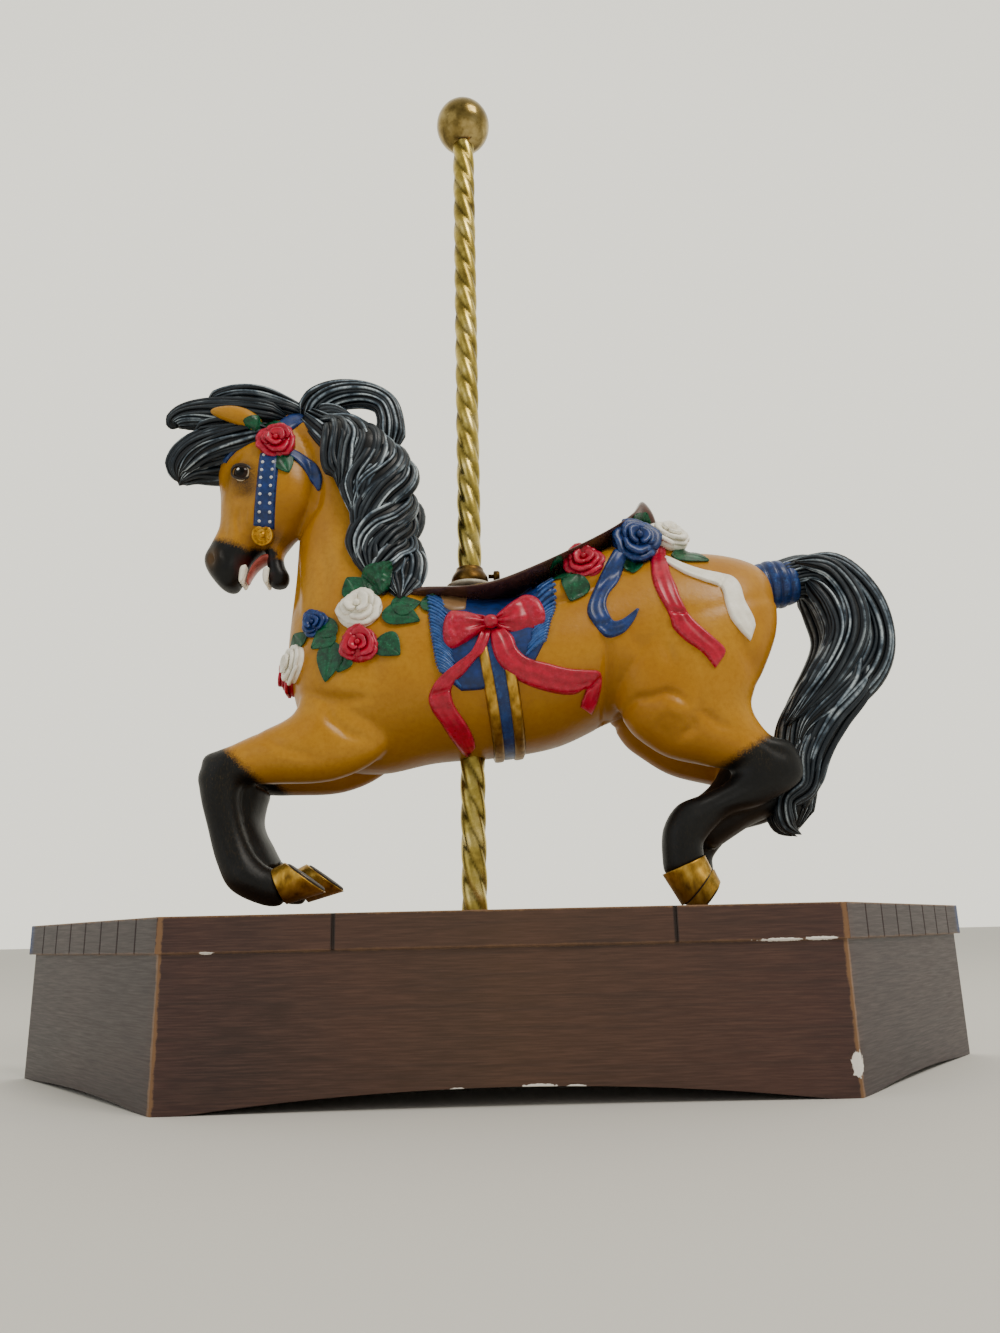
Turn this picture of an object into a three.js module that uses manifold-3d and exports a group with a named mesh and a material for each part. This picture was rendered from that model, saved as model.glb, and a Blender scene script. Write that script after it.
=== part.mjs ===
// Carousel horse ornament: a cast jumper on a twisted brass pole, over a half-hexagon platform.
// Millimetres, +Z up. The origin is on the surface it stands on, under the middle of the platform.
// The horse faces -X and its dressed side, with the mane and the flowers, faces -Y.
import * as THREE from 'three';
import { mergeVertices } from 'three/addons/utils/BufferGeometryUtils.js';
import Module from 'manifold-3d';

const wasm = await Module();
wasm.setup();

// ---- driving dimensions ----
const PLATFORM_HEIGHT = 75;
const PLATFORM_DEPTH = 130;
const FRONT_HALF = 139;          // half width of the short front face
const BACK_HALF = 243;           // half width of the long back face
const RIM_HEIGHT = 14.5;
const RIM_PROUD = 1.2;           // the rim board stands proud of the front panel
const RIM_END_PROUD = 4;         // and more at the two rear corners
const ARCH_RISE = 7.5;           // the lower edge is cut up in a long arc
const FOOT_LENGTH = 12;          // flat left at each end of that arc
const SIDE_ARCH_RISE = 2;
const SIDE_ARCH_DEPTH = 16;      // how far that shallower arc cuts into the block
const GROOVE_WIDTH = 1.0;
const GROOVE_DEPTH = 0.8;
const PLANKS = 8;                // deck planks run across the platform

const POLE_X = -12.5;
const POLE_RADIUS = 6.35;        // half-inch twisted brass
const POLE_VALLEY = 5.3;
const POLE_FLUTES = 4;
const POLE_LEAD = 60;            // one full turn of the twist
const POLE_SOCKET = 20;          // depth of the pole in the platform
const BALL_CENTRE = 523;
const BALL_RADIUS = 15.3;
const BALL_BORE_DEPTH = 8;
const GAP = 0.3;                 // left between pieces that touch
const BEYOND = 300;              // a cut reaches this far, past every part of the object
const CUT_OVER = 1;              // a cut starts this far outside the face that it opens

const SEAT_HEIGHT = 235.5;       // flat of the saddle round the pole
const BORE_CLEARANCE = 0.4;      // round the pole, all through the horse
const BORE_FROM = 120;           // below the belly
const ABOVE_SEAT = 300;          // over everything that the seat and the bore cut
const SEAT_CLEARANCE = 1;
const WASHER_RADIUS = 12;
const WASHER_THICK = 2;
const COLLAR_RADIUS = 9.2;
const COLLAR_HEIGHT = 9;
const SCREW_RADIUS = 2.9;
const SHANK_RADIUS = 1.4;
const SHANK_LENGTH = 3;
const SCREW_LENGTH = 6;
const SCREW_RISE = 1.9;          // from the collar's foot to the underside of the screw

const LEG_Y = 20;                // the legs of a pair stand this far each side of the middle
const FAR_FORE_SHIFT = [3, 2];   // the far foreleg from the elbow down, in X and Z
const FAR_HIND_SHIFT = [13, -4];
const HOOF_CLEAR = PLATFORM_HEIGHT + GAP;

// ---- materials ----
const paint = (color, roughness = 0.4, metalness = 0) =>
  new THREE.MeshStandardMaterial({ color, roughness, metalness });
const materials = {
  horse: paint(0xb27a1e, 0.35),
  platform: paint(0x5b4033, 0.5),
  pole: paint(0xb59a3a, 0.35, 1),
  ball: paint(0xb8924a, 0.15, 1),
  collar: paint(0x7a5a28, 0.4, 1),
  washer: paint(0xcfc9b4, 0.9),
};

// ---- solids: closed meshes joined and cut ----
function solid(geometry) {
  let bare = geometry.clone();
  bare.deleteAttribute('normal');
  bare.deleteAttribute('uv');
  bare = mergeVertices(bare, 1e-4);
  const vertProperties = new Float32Array(bare.attributes.position.array);
  const triVerts = new Uint32Array(bare.index.array);
  let volume = 0;
  const corner = (i) => new THREE.Vector3().fromArray(vertProperties, 3 * triVerts[i]);
  for (let i = 0; i < triVerts.length; i += 3) {
    volume += corner(i).dot(corner(i + 1).cross(corner(i + 2)));
  }
  if (volume < 0) {
    for (let i = 0; i < triVerts.length; i += 3) {
      [triVerts[i + 1], triVerts[i + 2]] = [triVerts[i + 2], triVerts[i + 1]];
    }
  }
  return new wasm.Manifold(new wasm.Mesh({ numProp: 3, vertProperties, triVerts }));
}

const joined = (shapes) => shapes.reduce((all, shape) => all.add(shape));

function finished(name, body, material) {
  const { vertProperties, triVerts } = body.getMesh();
  const geometry = new THREE.BufferGeometry();
  geometry.setAttribute('position', new THREE.BufferAttribute(vertProperties, 3));
  geometry.setIndex(new THREE.BufferAttribute(triVerts, 1));
  geometry.computeVertexNormals();
  const mesh = new THREE.Mesh(geometry, material);
  mesh.name = name;
  return mesh;
}

const box = (x0, x1, y0, y1, z0, z1) =>
  solid(new THREE.BoxGeometry(x1 - x0, y1 - y0, z1 - z0)
    .translate((x0 + x1) / 2, (y0 + y1) / 2, (z0 + z1) / 2));

// A round piece or bore on the axis of the pole.
const BORE_SIDES = 16;
const drum = (radius, z0, z1, sides = BORE_SIDES) =>
  solid(new THREE.CylinderGeometry(radius, radius, z1 - z0, sides)
    .rotateX(Math.PI / 2).translate(POLE_X, 0, (z0 + z1) / 2));

// A body or limb: rings set between two outline edges.
// A station is [edge A x, edge A z, edge B x, edge B z, half thickness, y].
function limb(stations, sides = 10, stepsPerSpan = 2) {
  const curve = (pick) => new THREE.CatmullRomCurve3(stations.map(pick));
  const edgeA = curve(([x, z, , , , y = 0]) => new THREE.Vector3(x, y, z));
  const edgeB = curve(([, , x, z, , y = 0]) => new THREE.Vector3(x, y, z));
  const thickness = curve(([, , , , w]) => new THREE.Vector3(w, 0, 0));
  const steps = (stations.length - 1) * stepsPerSpan;
  const shape = new THREE.CylinderGeometry(1, 1, 1, sides, steps);
  const at = shape.attributes.position;
  for (let i = 0; i < at.count; i++) {
    const t = Math.min(1, Math.max(0, 0.5 - at.getY(i)));
    const a = edgeA.getPoint(t);
    const b = edgeB.getPoint(t);
    const middle = a.clone().add(b).multiplyScalar(0.5);
    const reach = a.sub(b).multiplyScalar(0.5 * at.getZ(i));
    const across = thickness.getPoint(t).x * at.getX(i);
    at.setXYZ(i, middle.x + reach.x, middle.y + across, middle.z + reach.z);
  }
  return solid(shape);
}

// A lock, strap or leaf: an oval tube along a free path.
// A point is [x, y, z, half height, half depth]; depth is towards the nearest side of the horse.
function lock(points, sides = 8, stepsPerSpan = 2, face = new THREE.Vector3(0, 1, 0)) {
  const path = new THREE.CatmullRomCurve3(points.map(([x, y, z]) => new THREE.Vector3(x, y, z)));
  const girth = new THREE.CatmullRomCurve3(points.map(([, , , r, d]) => new THREE.Vector3(r, d, 0)));
  const steps = (points.length - 1) * stepsPerSpan;
  const shape = new THREE.CylinderGeometry(1, 1, 1, sides, steps);
  const at = shape.attributes.position;
  for (let i = 0; i < at.count; i++) {
    const t = Math.min(1, Math.max(0, 0.5 - at.getY(i)));
    const along = path.getTangent(t);
    const high = along.clone().cross(face).normalize();
    const deep = high.clone().cross(along).normalize();
    const size = girth.getPoint(t);
    const place = path.getPoint(t)
      .addScaledVector(high, size.x * at.getZ(i))
      .addScaledVector(deep, size.y * at.getX(i));
    at.setXYZ(i, place.x, place.y, place.z);
  }
  return solid(shape);
}

const poleHole = (z0, z1) => drum(POLE_RADIUS + GAP, z0, z1);

// Where the dressed side of a body lies at x and z, found by a ray from outside it. Where the
// ray meets nothing, a trimming hangs past the edge of the body.
const RAY_START = -200;
const EDGE_Y = -14;

function skinOf(body) {
  const { vertProperties, triVerts } = body.getMesh();
  const geometry = new THREE.BufferGeometry();
  geometry.setAttribute('position', new THREE.BufferAttribute(vertProperties, 3));
  geometry.setIndex(new THREE.BufferAttribute(triVerts, 1));
  const target = new THREE.Mesh(geometry);
  const inward = new THREE.Vector3(0, 1, 0);
  return (x, z) => {
    const hits = new THREE.Raycaster(new THREE.Vector3(x, RAY_START, z), inward)
      .intersectObject(target);
    return hits.length > 0 ? hits[0].point.y : EDGE_Y;
  };
}

// The same stations on the far side of the horse. A shift in X and Z grows in over a few of them.
const SHIFT_SPANS = 3;
const farSide = (stations, [dx, dz] = [0, 0], from = -SHIFT_SPANS) => stations.map(
  ([ax, az, bx, bz, w, y], i) => {
    const t = Math.min(1, Math.max(0, (i - from + 1) / SHIFT_SPANS));
    return [ax + t * dx, az + t * dz, bx + t * dx, bz + t * dz, w, -y];
  });

// ---- trunk, neck and head ----
// top x, top z, bottom x, bottom z, half thickness
const TRUNK = [
  [-101, 196, -100, 178, 10],
  [-94, 214, -91, 160, 24],
  [-80, 232, -77, 145, 32],
  [-58, 238, -56, 142, 37],
  [-30, 234, -30, 147, 40],
  [0, 228, 0, 149, 41],
  [30, 233, 30, 154, 41],
  [58, 244, 60, 167, 38],
  [84, 251, 84, 172, 37],
  [110, 251, 108, 170, 36],
  [130, 246, 126, 184, 30],
  [141, 236, 139, 203, 17],
];

// front edge, back edge
const NECK = [
  [-104, 196, -28, 190, 30],
  [-103, 215, -32, 224, 27],
  [-101, 238, -42, 250, 23],
  [-100, 260, -50, 276, 19],
  [-98, 284, -58, 300, 17],
  [-101, 306, -70, 320, 15],
  [-110, 322, -90, 334, 12],
];

// face edge, jaw and throat edge
const SKULL = [
  [-118, 332, -96, 337, 8],
  [-136, 317, -92, 318, 15],
  [-143, 303, -87, 297, 20],
  [-141.5, 287, -88, 280, 19],
  [-141.5, 272, -101, 266, 15],
  [-145, 262, -117, 259, 12],
  [-148, 254, -124, 252, 11.5],
  [-145, 246, -127, 244, 11],
  [-138, 237, -131, 236, 7],
];
const LOWER_JAW = [
  [-118, 268, -98, 270, 12],
  [-117, 258, -107, 258, 8],
  [-116, 250, -107.5, 251, 6.5],
  [-115.5, 243, -104.5, 244, 7],
  [-113, 237.5, -106, 238.5, 4],
];

// ---- legs ----
const FORELEG = [
  [-92, 182, -40, 166, 14, -LEG_Y],
  [-96, 168, -56, 146, 15, -LEG_Y],
  [-110, 160, -78, 136, 12, -LEG_Y],
  [-123, 154, -106, 135, 10, -LEG_Y],
  [-136, 147, -118, 134.5, 9.5, -LEG_Y],
  [-138.5, 133, -120, 126, 9, -LEG_Y],
  [-134, 115, -117, 113, 7.5, -LEG_Y],
  [-129, 99, -112, 103, 8, -LEG_Y],
  [-122, 87, -107, 98, 9, -LEG_Y],
  [-107, 80, -103, 96, 8.5, -LEG_Y],
  [-97, 80, -101, 95, 8.5, -LEG_Y],
];
const FORE_HOOF = [
  [-96.5, 80.5, -104, 96, 9, -LEG_Y],
  [-79, 85.5, -98, 99, 11.5, -LEG_Y],
];
// front edge, back edge
const HINDLEG = [
  [58, 208, 138, 228, 16, -LEG_Y],
  [54, 184, 139, 205, 19, -LEG_Y],
  [60, 162, 130, 183, 18, -LEG_Y],
  [76, 146, 121, 168, 15, -LEG_Y],
  [96, 140, 128, 154, 12, -LEG_Y],
  [109, 137, 139, 149, 10, -LEG_Y],
  [105, 131, 142, 133, 9.5, -LEG_Y],
  [94, 126, 124, 121.5, 8.5, -LEG_Y],
  [82, 121, 106, 116, 8, -LEG_Y],
  [75, 110, 94, 105, 8.5, -LEG_Y],
  [74, 96, 93, 99, 8.5, -LEG_Y],
  [75, 88, 93, 96.5, 8.5, -LEG_Y],
];
const HIND_HOOF = [
  [73.8, 89.5, 93.5, 98, 9, -LEG_Y],
  [82, 75.4, 96, 92, 11, -LEG_Y],
];
// the thin wall of clay left between the legs of a pair
const FORE_WEB = [
  [-134, 146, -110, 134.5, 15],
  [-130, 124, -113, 119, 14],
  [-125, 106, -107.5, 107, 14],
  [-119, 93, -104, 100, 13],
];
const HIND_WEB = [
  [112, 148, 140, 146, 15],
  [104, 134, 136, 122, 15],
  [92, 124, 119, 112, 15],
  [84, 112, 102, 102, 13],
];
// the rise of the back that carries the cantle
const CROUP_RISE = [
  [6, 224, 6, 198, 34],
  [26, 235, 24, 205, 36],
  [44, 246, 42, 212, 34],
  [60, 256, 58, 222, 29],
  [71, 264, 70, 232, 22],
  [84, 259, 84, 238, 17],
  [100, 252, 100, 236, 17],
];

// ---- hair ----
// x, y, z, half height, half depth
const MANE_MASS = [
  [-98, -3, 332, 7, 9], [-84, -7, 322, 12, 11], [-69, -9, 305, 17, 14], [-61, -10, 284, 20, 15],
  [-57, -11, 264, 19, 15], [-50, -12, 246, 15, 16], [-45, -12, 233, 10, 14],
];
const MANE_LOCKS = [
  [[-101, 0, 336, 4, 6], [-92, 0, 345, 6.5, 7], [-76, 0, 347.5, 7, 7], [-62, 0, 344, 6.5, 6],
    [-55.5, 0, 333, 6, 6], [-54, -1, 320, 6.5, 6], [-52, -4, 306, 5, 5]],
  [[-98, -9, 334, 5, 4], [-82, -13, 329, 7, 5], [-72, -17, 315, 6, 6], [-72, -20, 300, 5, 5],
    [-79, -19, 288, 4, 4], [-81, -17, 282, 2, 2]],
  [[-84, -11, 331, 5, 5], [-66, -15, 321, 7, 6], [-54, -17, 306, 7, 6], [-54, -22, 290, 6, 6],
    [-66, -24, 277, 5, 5], [-71, -22, 264, 2.5, 3]],
  [[-64, -13, 318, 5, 5], [-49, -13, 307, 6, 6], [-43, -16, 291, 6, 6], [-49, -23, 276, 6, 6],
    [-62, -27, 263, 5, 5], [-68, -26, 250, 4, 4], [-64, -26, 241, 2, 2]],
  [[-50, -12, 298, 5, 5], [-43, -15, 283, 6, 6], [-42, -20, 268, 6, 6], [-51, -27, 254, 6, 6],
    [-58, -29, 243, 5, 4], [-55, -28, 233, 2.5, 3]],
  [[-44, -13, 278, 4, 5], [-40, -17, 262, 5, 6], [-43, -23, 248, 5, 6], [-46, -27, 237, 5, 5],
    [-44, -27, 229, 3, 3]],
];
const FORELOCK = [
  [[-104, 0, 331, 6, 10], [-122, -1, 338, 6, 13], [-138, -1, 341, 6.5, 13], [-151, -1, 338, 5, 10]],
  [[-108, -1, 326, 8, 12], [-128, -3, 327, 9, 14], [-146, -4, 328, 9, 13], [-160, -4, 328, 7, 9],
    [-167, -4, 324, 3, 4]],
  [[-122, 0, 318, 9, 12], [-140, -2, 312, 12, 12], [-154, -3, 307, 9, 9], [-163, -3, 301, 5, 5],
    [-164, -3, 295, 2, 2]],
];
const TAIL_LINE = [
  [132, 0, 234, 11, 10], [146, 0, 237, 13, 12], [163, 0, 239, 12, 12], [175, 0, 226, 15, 14],
  [179, 0, 206, 17, 14], [174, 0, 188, 18, 14], [165, 0, 174, 17, 13], [154, 0, 160, 16, 12],
  [149, 0, 147, 13, 11], [147, 0, 131, 11, 10], [141, 0, 117, 9, 8], [138, 0, 110, 5, 5],
];
const TAIL_LOCKS = 4;
const TAIL_SPREAD = 0.8;         // how near the outer locks come to the edges of the tail
const TAIL_ACROSS = [0.75, 0.66];  // the direction across the tail, in X and Z
const TAIL_WANDER = 0.35;        // how far a lock strays to each side on its way down
const TAIL_WANDER_STEP = 0.9;
const TAIL_EDGE = 0.95;
const TAIL_LOCK_SIZE = [3.4, 2.6];

// Locks that wind down the outside of the tail, spaced across its width.
function tailLocks() {
  return Array.from({ length: TAIL_LOCKS }, (_, i) => {
    const lead = TAIL_SPREAD * (2 * i / (TAIL_LOCKS - 1) - 1);
    const points = TAIL_LINE.slice(2, -2).map(([x, y, z, r, d], k) => {
      const place = lead + TAIL_WANDER * Math.sin(TAIL_WANDER_STEP * k + i);
      const across = Math.max(-TAIL_EDGE, Math.min(TAIL_EDGE, place));
      const outward = Math.sqrt(1 - across * across);
      const [dx, dz] = TAIL_ACROSS;
      return [x + dx * across * r, y - outward * d, z + dz * across * r, ...TAIL_LOCK_SIZE];
    });
    return lock(points, 4, 1);
  });
}

function hair() {
  return [
    lock(MANE_MASS, 8, 1),
    ...MANE_LOCKS.map((points) => lock(points, 5, 1)),
    ...FORELOCK.map((points) => lock(points, 6, 1)),
    lock(TAIL_LINE, 10, 1),
    ...tailLocks(),
    lock(DOCK_WRAP, 12, 1),
  ];
}

// The ribbon wound round the root of the tail.
const DOCK_WRAP = [[136, 0, 234, 14.2, 12.5], [145, 0, 236.5, 14, 13.2], [154, 0, 238.5, 13.6, 13.2]];

// ---- saddle, blanket and girths ----
// top edge, bottom edge
const SADDLE = [
  [-47, 229, -47, 221, 17],
  [-36, 233, -36, 220, 30],
  [-12.5, 235.8, -12.5, 217, 35],
  [6, 236.2, 6, 222, 36.5],
  [24, 240.5, 24, 231, 37],
  [44, 250, 42, 241, 34.5],
  [60, 261, 56, 251, 29],
  [71, 273, 68, 259, 21],
  [79, 283, 78, 263, 11.5],
  [86, 272, 86, 258, 9],
];
const BLANKET_X = [-34, 40];
const BLANKET_LOWEST = 176;
const BLANKET_PROUD = 1.2;
const GIRTHS = [[-9, -3], [-3, 5], [5, 11.5]];
const GIRTH_PROUD = [2.6, 2.0, 2.6];

// The outline of the trunk at x, read off its stations.
function trunkAt(x) {
  const next = TRUNK.findIndex(([topX]) => topX > x);
  const [a, b] = [TRUNK[next - 1], TRUNK[next]];
  const t = (x - a[0]) / (b[0] - a[0]);
  return [x, a[1] + t * (b[1] - a[1]), x, a[3] + t * (b[3] - a[3]), a[4] + t * (b[4] - a[4])];
}

// A band that wraps the trunk between two places, standing proud of it.
function wrap([x0, x1], proud, spans) {
  const stations = Array.from({ length: spans + 1 }, (_, i) => {
    const [x, top, , bottom, w] = trunkAt(x0 + ((x1 - x0) * i) / spans);
    return [x, top + proud, x, bottom - proud, w + proud];
  });
  return limb(stations, 16, 1);
}

function tack() {
  const blanket = wrap(BLANKET_X, BLANKET_PROUD, 5)
    .intersect(box(-BEYOND, BEYOND, -BEYOND, BEYOND, BLANKET_LOWEST, BEYOND));
  return [
    limb(SADDLE, 12, 1),
    blanket,
    ...GIRTHS.map((band, i) => wrap(band, GIRTH_PROUD[i], 1)),
  ];
}

// ---- bridle ----
const CHEEK_STRAP = [[-112, -20.5, 304, 4, 1.6], [-113, -20.5, 282, 4, 1.6], [-114, -16.5, 262, 4, 1.6]];
const BROW_BAND = [[-141, -9, 305, 2, 3], [-133, -16, 311, 2.4, 3], [-122, -18, 315, 2.6, 3]];
const CROWN_STRAP = [[-112, -15, 319, 4, 2], [-105, -13, 329, 4, 2], [-101, -9, 335, 3.5, 2]];
const THROAT_LATCH = [[-106, -18, 304, 3.5, 2], [-95, -20, 297, 3.5, 2], [-88, -17, 285, 3, 2]];

const straps = () => [CHEEK_STRAP, BROW_BAND, CROWN_STRAP, THROAT_LATCH]
  .map((points) => lock(points, 6, 1));

// ---- flowers ----
const PETALS = 5;
const FACES_PER_PETAL = 2;
const ROSE_DEPTH = 0.62;         // depth of a rose against its radius
const ROSE_LIFT = 0.12;
const PETAL_WAVE = 0.12;
const BUD_SIZE = 0.55;
const BUD_LIFT = 0.38;

// One dome of a rose, whose rim waves in petals, facing the dressed side.
function petals(x, y, z, radius, turn, rows) {
  const dome = new THREE.SphereGeometry(1, FACES_PER_PETAL * PETALS, rows);
  const at = dome.attributes.position;
  for (let i = 0; i < at.count; i++) {
    const angle = Math.atan2(at.getY(i), at.getX(i));
    const swell = 1 + PETAL_WAVE * Math.cos(PETALS * angle + turn);
    at.setXYZ(i, x + radius * swell * at.getX(i), y + ROSE_DEPTH * radius * at.getZ(i),
      z + radius * swell * at.getY(i));
  }
  return solid(mergeVertices(dome));
}

// A rose: a wide ring of petals with the bud standing out of it.
function rose([x, z, radius], skin) {
  const y = skin(x, z) - ROSE_LIFT * radius;
  const bud = y - BUD_LIFT * radius;
  return petals(x, y, z, radius, 0, 4).add(petals(x, bud, z, BUD_SIZE * radius, Math.PI, 3));
}

// A leaf: base, tip, half width. It lies on the surface and swells at the middle.
const LEAF_BASE = [1.5, 1.7];    // half width, half thickness
const LEAF_TIP = [0.8, 1.5];
const LEAF_HALF_THICKNESS = 1.9;
const LEAF_LIFT = 0.6;

function leaf([x0, z0, x1, z1, half], skin) {
  const [xm, zm] = [(x0 + x1) / 2, (z0 + z1) / 2];
  return lock([[x0, skin(x0, z0), z0, ...LEAF_BASE],
    [xm, skin(xm, zm) - LEAF_LIFT, zm, half, LEAF_HALF_THICKNESS],
    [x1, skin(x1, z1), z1, ...LEAF_TIP]], 4, 1);
}

// A ribbon that lies along the surface between two edges. A row is [edge A x, z, edge B x, z].
const ribbon = (edges, skin) => limb(edges.map(([ax, az, bx, bz]) => [
  ax, az, bx, bz, RIBBON_HALF_THICKNESS, skin((ax + bx) / 2, (az + bz) / 2) - RIBBON_LIFT]), 6, 1);

// x, z, radius
const ROSES = [
  [-87, 211, 7.5], [-65, 216, 12], [-64, 197, 9.5], [-98, 193, 8.5], [-103, 187, 8],
  [43.5, 238, 10.5], [70, 251.5, 12.5], [88.5, 254, 9], [-111, 311, 9.8],
];
// base x, base z, tip x, tip z, half width
const LEAVES = [
  [-66, 224, -70, 233, 4.5], [-60, 226, -54, 236, 5], [-54, 213, -36, 208, 5],
  [-50, 218, -36, 219, 4.5], [-36, 219, -24, 216, 4], [-56, 199, -45, 191, 5],
  [-76, 210, -86, 204, 5], [-76, 204, -88, 198, 4.5], [-78, 200, -80, 180, 5],
  [-72, 192, -74, 184, 4],
  [41, 231, 36, 217, 6], [38, 237, 24, 230, 4], [74, 259, 78, 270, 4],
  [66, 245, 66, 236, 4], [90, 246, 104, 240, 4.5],
  [-117, 317, -126, 321, 3.5], [-110, 319, -115, 325, 3], [-108, 303, -103, 294, 4],
];

// ---- ribbons and bow ----
const RIBBON_HALF_THICKNESS = 1.9;
const RIBBON_LIFT = 0.5;
// edge A x, edge A z, edge B x, edge B z
const BLUE_STREAMER = [
  [55.4, 241, 63.4, 241], [50.3, 229.6, 58.6, 228], [45.7, 220, 53.4, 220.7], [43.2, 212, 51.4, 214.8],
  [44.7, 205, 52.2, 209.7], [51.7, 198.2, 54.6, 205.5], [60, 201, 59.6, 206.6], [67.2, 211.3, 66.1, 212.3],
];
const RED_STREAMER = [
  [78.3, 246, 83.3, 247], [75.8, 230, 84.5, 228], [77.5, 218.6, 86.5, 217.7], [82.3, 206.1, 90.7, 207.5],
  [88.5, 195.3, 100.3, 196.6], [95.6, 189.5, 105.4, 191.5], [101, 182.4, 105.4, 188],
];
const WHITE_STREAMER = [
  [81, 240.5, 81.4, 247.4], [90.6, 231.7, 91, 238.2], [98.8, 227.2, 99.2, 233.6],
  [107, 223.4, 110.5, 231], [109.1, 214.5, 116.9, 224.8], [110.6, 207.2, 118.3, 215.9],
  [114.9, 200.6, 121.7, 207.1], [119.4, 196.2, 122.1, 202.7],
];
const BOW_LEFT_TAIL = [
  [-7, 204, -2.5, 203], [-11.6, 191.5, -6.1, 191.5], [-19.9, 184.6, -10.7, 187],
  [-27.5, 178.5, -16.2, 180.7], [-31.3, 170.4, -21.6, 175], [-27, 160.4, -19.6, 166],
  [-17.6, 150.1, -12.1, 154.3], [-14.5, 148.2, -11.1, 150.9],
];
const BOW_RIGHT_TAIL = [
  [2.3, 204.4, -2.9, 203], [6.7, 198, -2, 193], [8.7, 191.7, 0.9, 185.4], [13.5, 187, 7.4, 179.4],
  [31.6, 182.4, 26.5, 172.8], [47.2, 181.8, 40.8, 174.9], [46.5, 169.6, 39.5, 169.4],
  [44.3, 165.2, 38.9, 167.2],
];
// and half thickness
const BOW_LEFT_LOOP = [
  [-3.5, 208, -4, 202.5, 2.6], [-9, 209.2, -9.5, 199, 3.8], [-15, 210.8, -16.5, 194.2, 4.8],
  [-21, 211, -22, 192.6, 4.6], [-25, 206.5, -25.4, 197, 2.5],
];
const BOW_RIGHT_LOOP = [
  [-2, 208, -1, 203, 2.6], [5, 214, 6.5, 200.6, 3.8], [12.5, 219, 14, 200.4, 4.8],
  [19, 217.5, 20, 202.4, 4.6], [22.6, 211, 22.8, 205.5, 2.5],
];
const BOW_LOOP_LIFT = 1.6;
const KNOT = [-3, 205, 3.7];     // x, z, radius

const bowLoop = (stations, skin) => limb(stations.map(([ax, az, bx, bz, w]) => [
  ax, az, bx, bz, w, skin((ax + bx) / 2, (az + bz) / 2) - BOW_LOOP_LIFT]), 8, 1);

function knot([x, z, radius], skin) {
  return solid(new THREE.SphereGeometry(radius, 8, 6).translate(x, skin(x, z) - radius, z));
}

function trimmings(body) {
  const skin = skinOf(body);
  return [
    ...ROSES.map((flower) => rose(flower, skin)),
    ...LEAVES.map((blade) => leaf(blade, skin)),
    ...[BLUE_STREAMER, RED_STREAMER, WHITE_STREAMER, BOW_LEFT_TAIL, BOW_RIGHT_TAIL]
      .map((edges) => ribbon(edges, skin)),
    ...[BOW_LEFT_LOOP, BOW_RIGHT_LOOP].map((stations) => bowLoop(stations, skin)),
    knot(KNOT, skin),
  ];
}

// ---- the small forms of the head ----
function ears() {
  const near = [[-120, -12, 318, 2.5, 3.5], [-131, -17, 326, 4.2, 3.4], [-145, -18, 329, 1, 1.2]];
  const far = near.map(([x, y, z, r, d]) => [x, -y, z, r, d]);
  return [near, far].map((points) => lock(points, 7, 2));
}

function teeth() {
  const upper = limb([[-129, 248, -125, 249, 5.5], [-128.5, 238.5, -125.5, 238.5, 5]], 8, 1);
  const lower = limb([[-117.5, 240, -114, 239, 4.5], [-118, 248, -115, 248, 4.5]], 8, 1);
  return [upper, lower];
}

function tongue() {
  return lock([[-108, 0, 254, 3, 5], [-117, 0, 251.5, 2.5, 5], [-123.5, 0, 247, 2, 4]], 8, 2);
}

// ---- the horse: everything cast in one ----
function horse() {
  const body = [
    limb(TRUNK, 16, 1),
    limb(CROUP_RISE, 12, 1),
    limb(NECK, 12, 1),
    limb(SKULL, 12, 1),
    limb(LOWER_JAW, 8, 1),
  ];
  const legs = [
    limb(FORELEG, 9, 1),
    limb(FORE_HOOF, 12, 1),
    limb(farSide(FORELEG, FAR_FORE_SHIFT, 6), 9, 1),
    limb(farSide(FORE_HOOF, FAR_FORE_SHIFT), 12, 1),
    limb(HINDLEG, 10, 1),
    limb(HIND_HOOF, 12, 1),
    limb(farSide(HINDLEG, FAR_HIND_SHIFT, 2), 10, 1),
    limb(farSide(HIND_HOOF, FAR_HIND_SHIFT), 12, 1),
    limb(FORE_WEB, 8, 1),
    limb(HIND_WEB, 8, 1),
  ];
  const figure = joined([...body, ...legs, ...tack()]);
  const cast = joined([
    figure, ...hair(), ...straps(), ...ears(), ...teeth(), tongue(), ...trimmings(figure),
  ]);
  const bore = drum(POLE_RADIUS + BORE_CLEARANCE, BORE_FROM, ABOVE_SEAT);
  const seat = drum(WASHER_RADIUS + SEAT_CLEARANCE, SEAT_HEIGHT, ABOVE_SEAT, 20);
  const deck = box(-BEYOND, BEYOND, -BEYOND, BEYOND, 0, HOOF_CLEAR);
  return cast.subtract(bore).subtract(seat).subtract(deck);
}

// ---- platform ----
function platformPlan(front, back, depth) {
  const plan = new THREE.Shape();
  plan.moveTo(-front, -depth / 2);
  plan.lineTo(front, -depth / 2);
  plan.lineTo(back, depth / 2);
  plan.lineTo(-back, depth / 2);
  plan.closePath();
  return plan;
}

const slab = (plan, z0, z1) =>
  solid(new THREE.ExtrudeGeometry(plan, { depth: z1 - z0, bevelEnabled: false }).translate(0, 0, z0));

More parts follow.
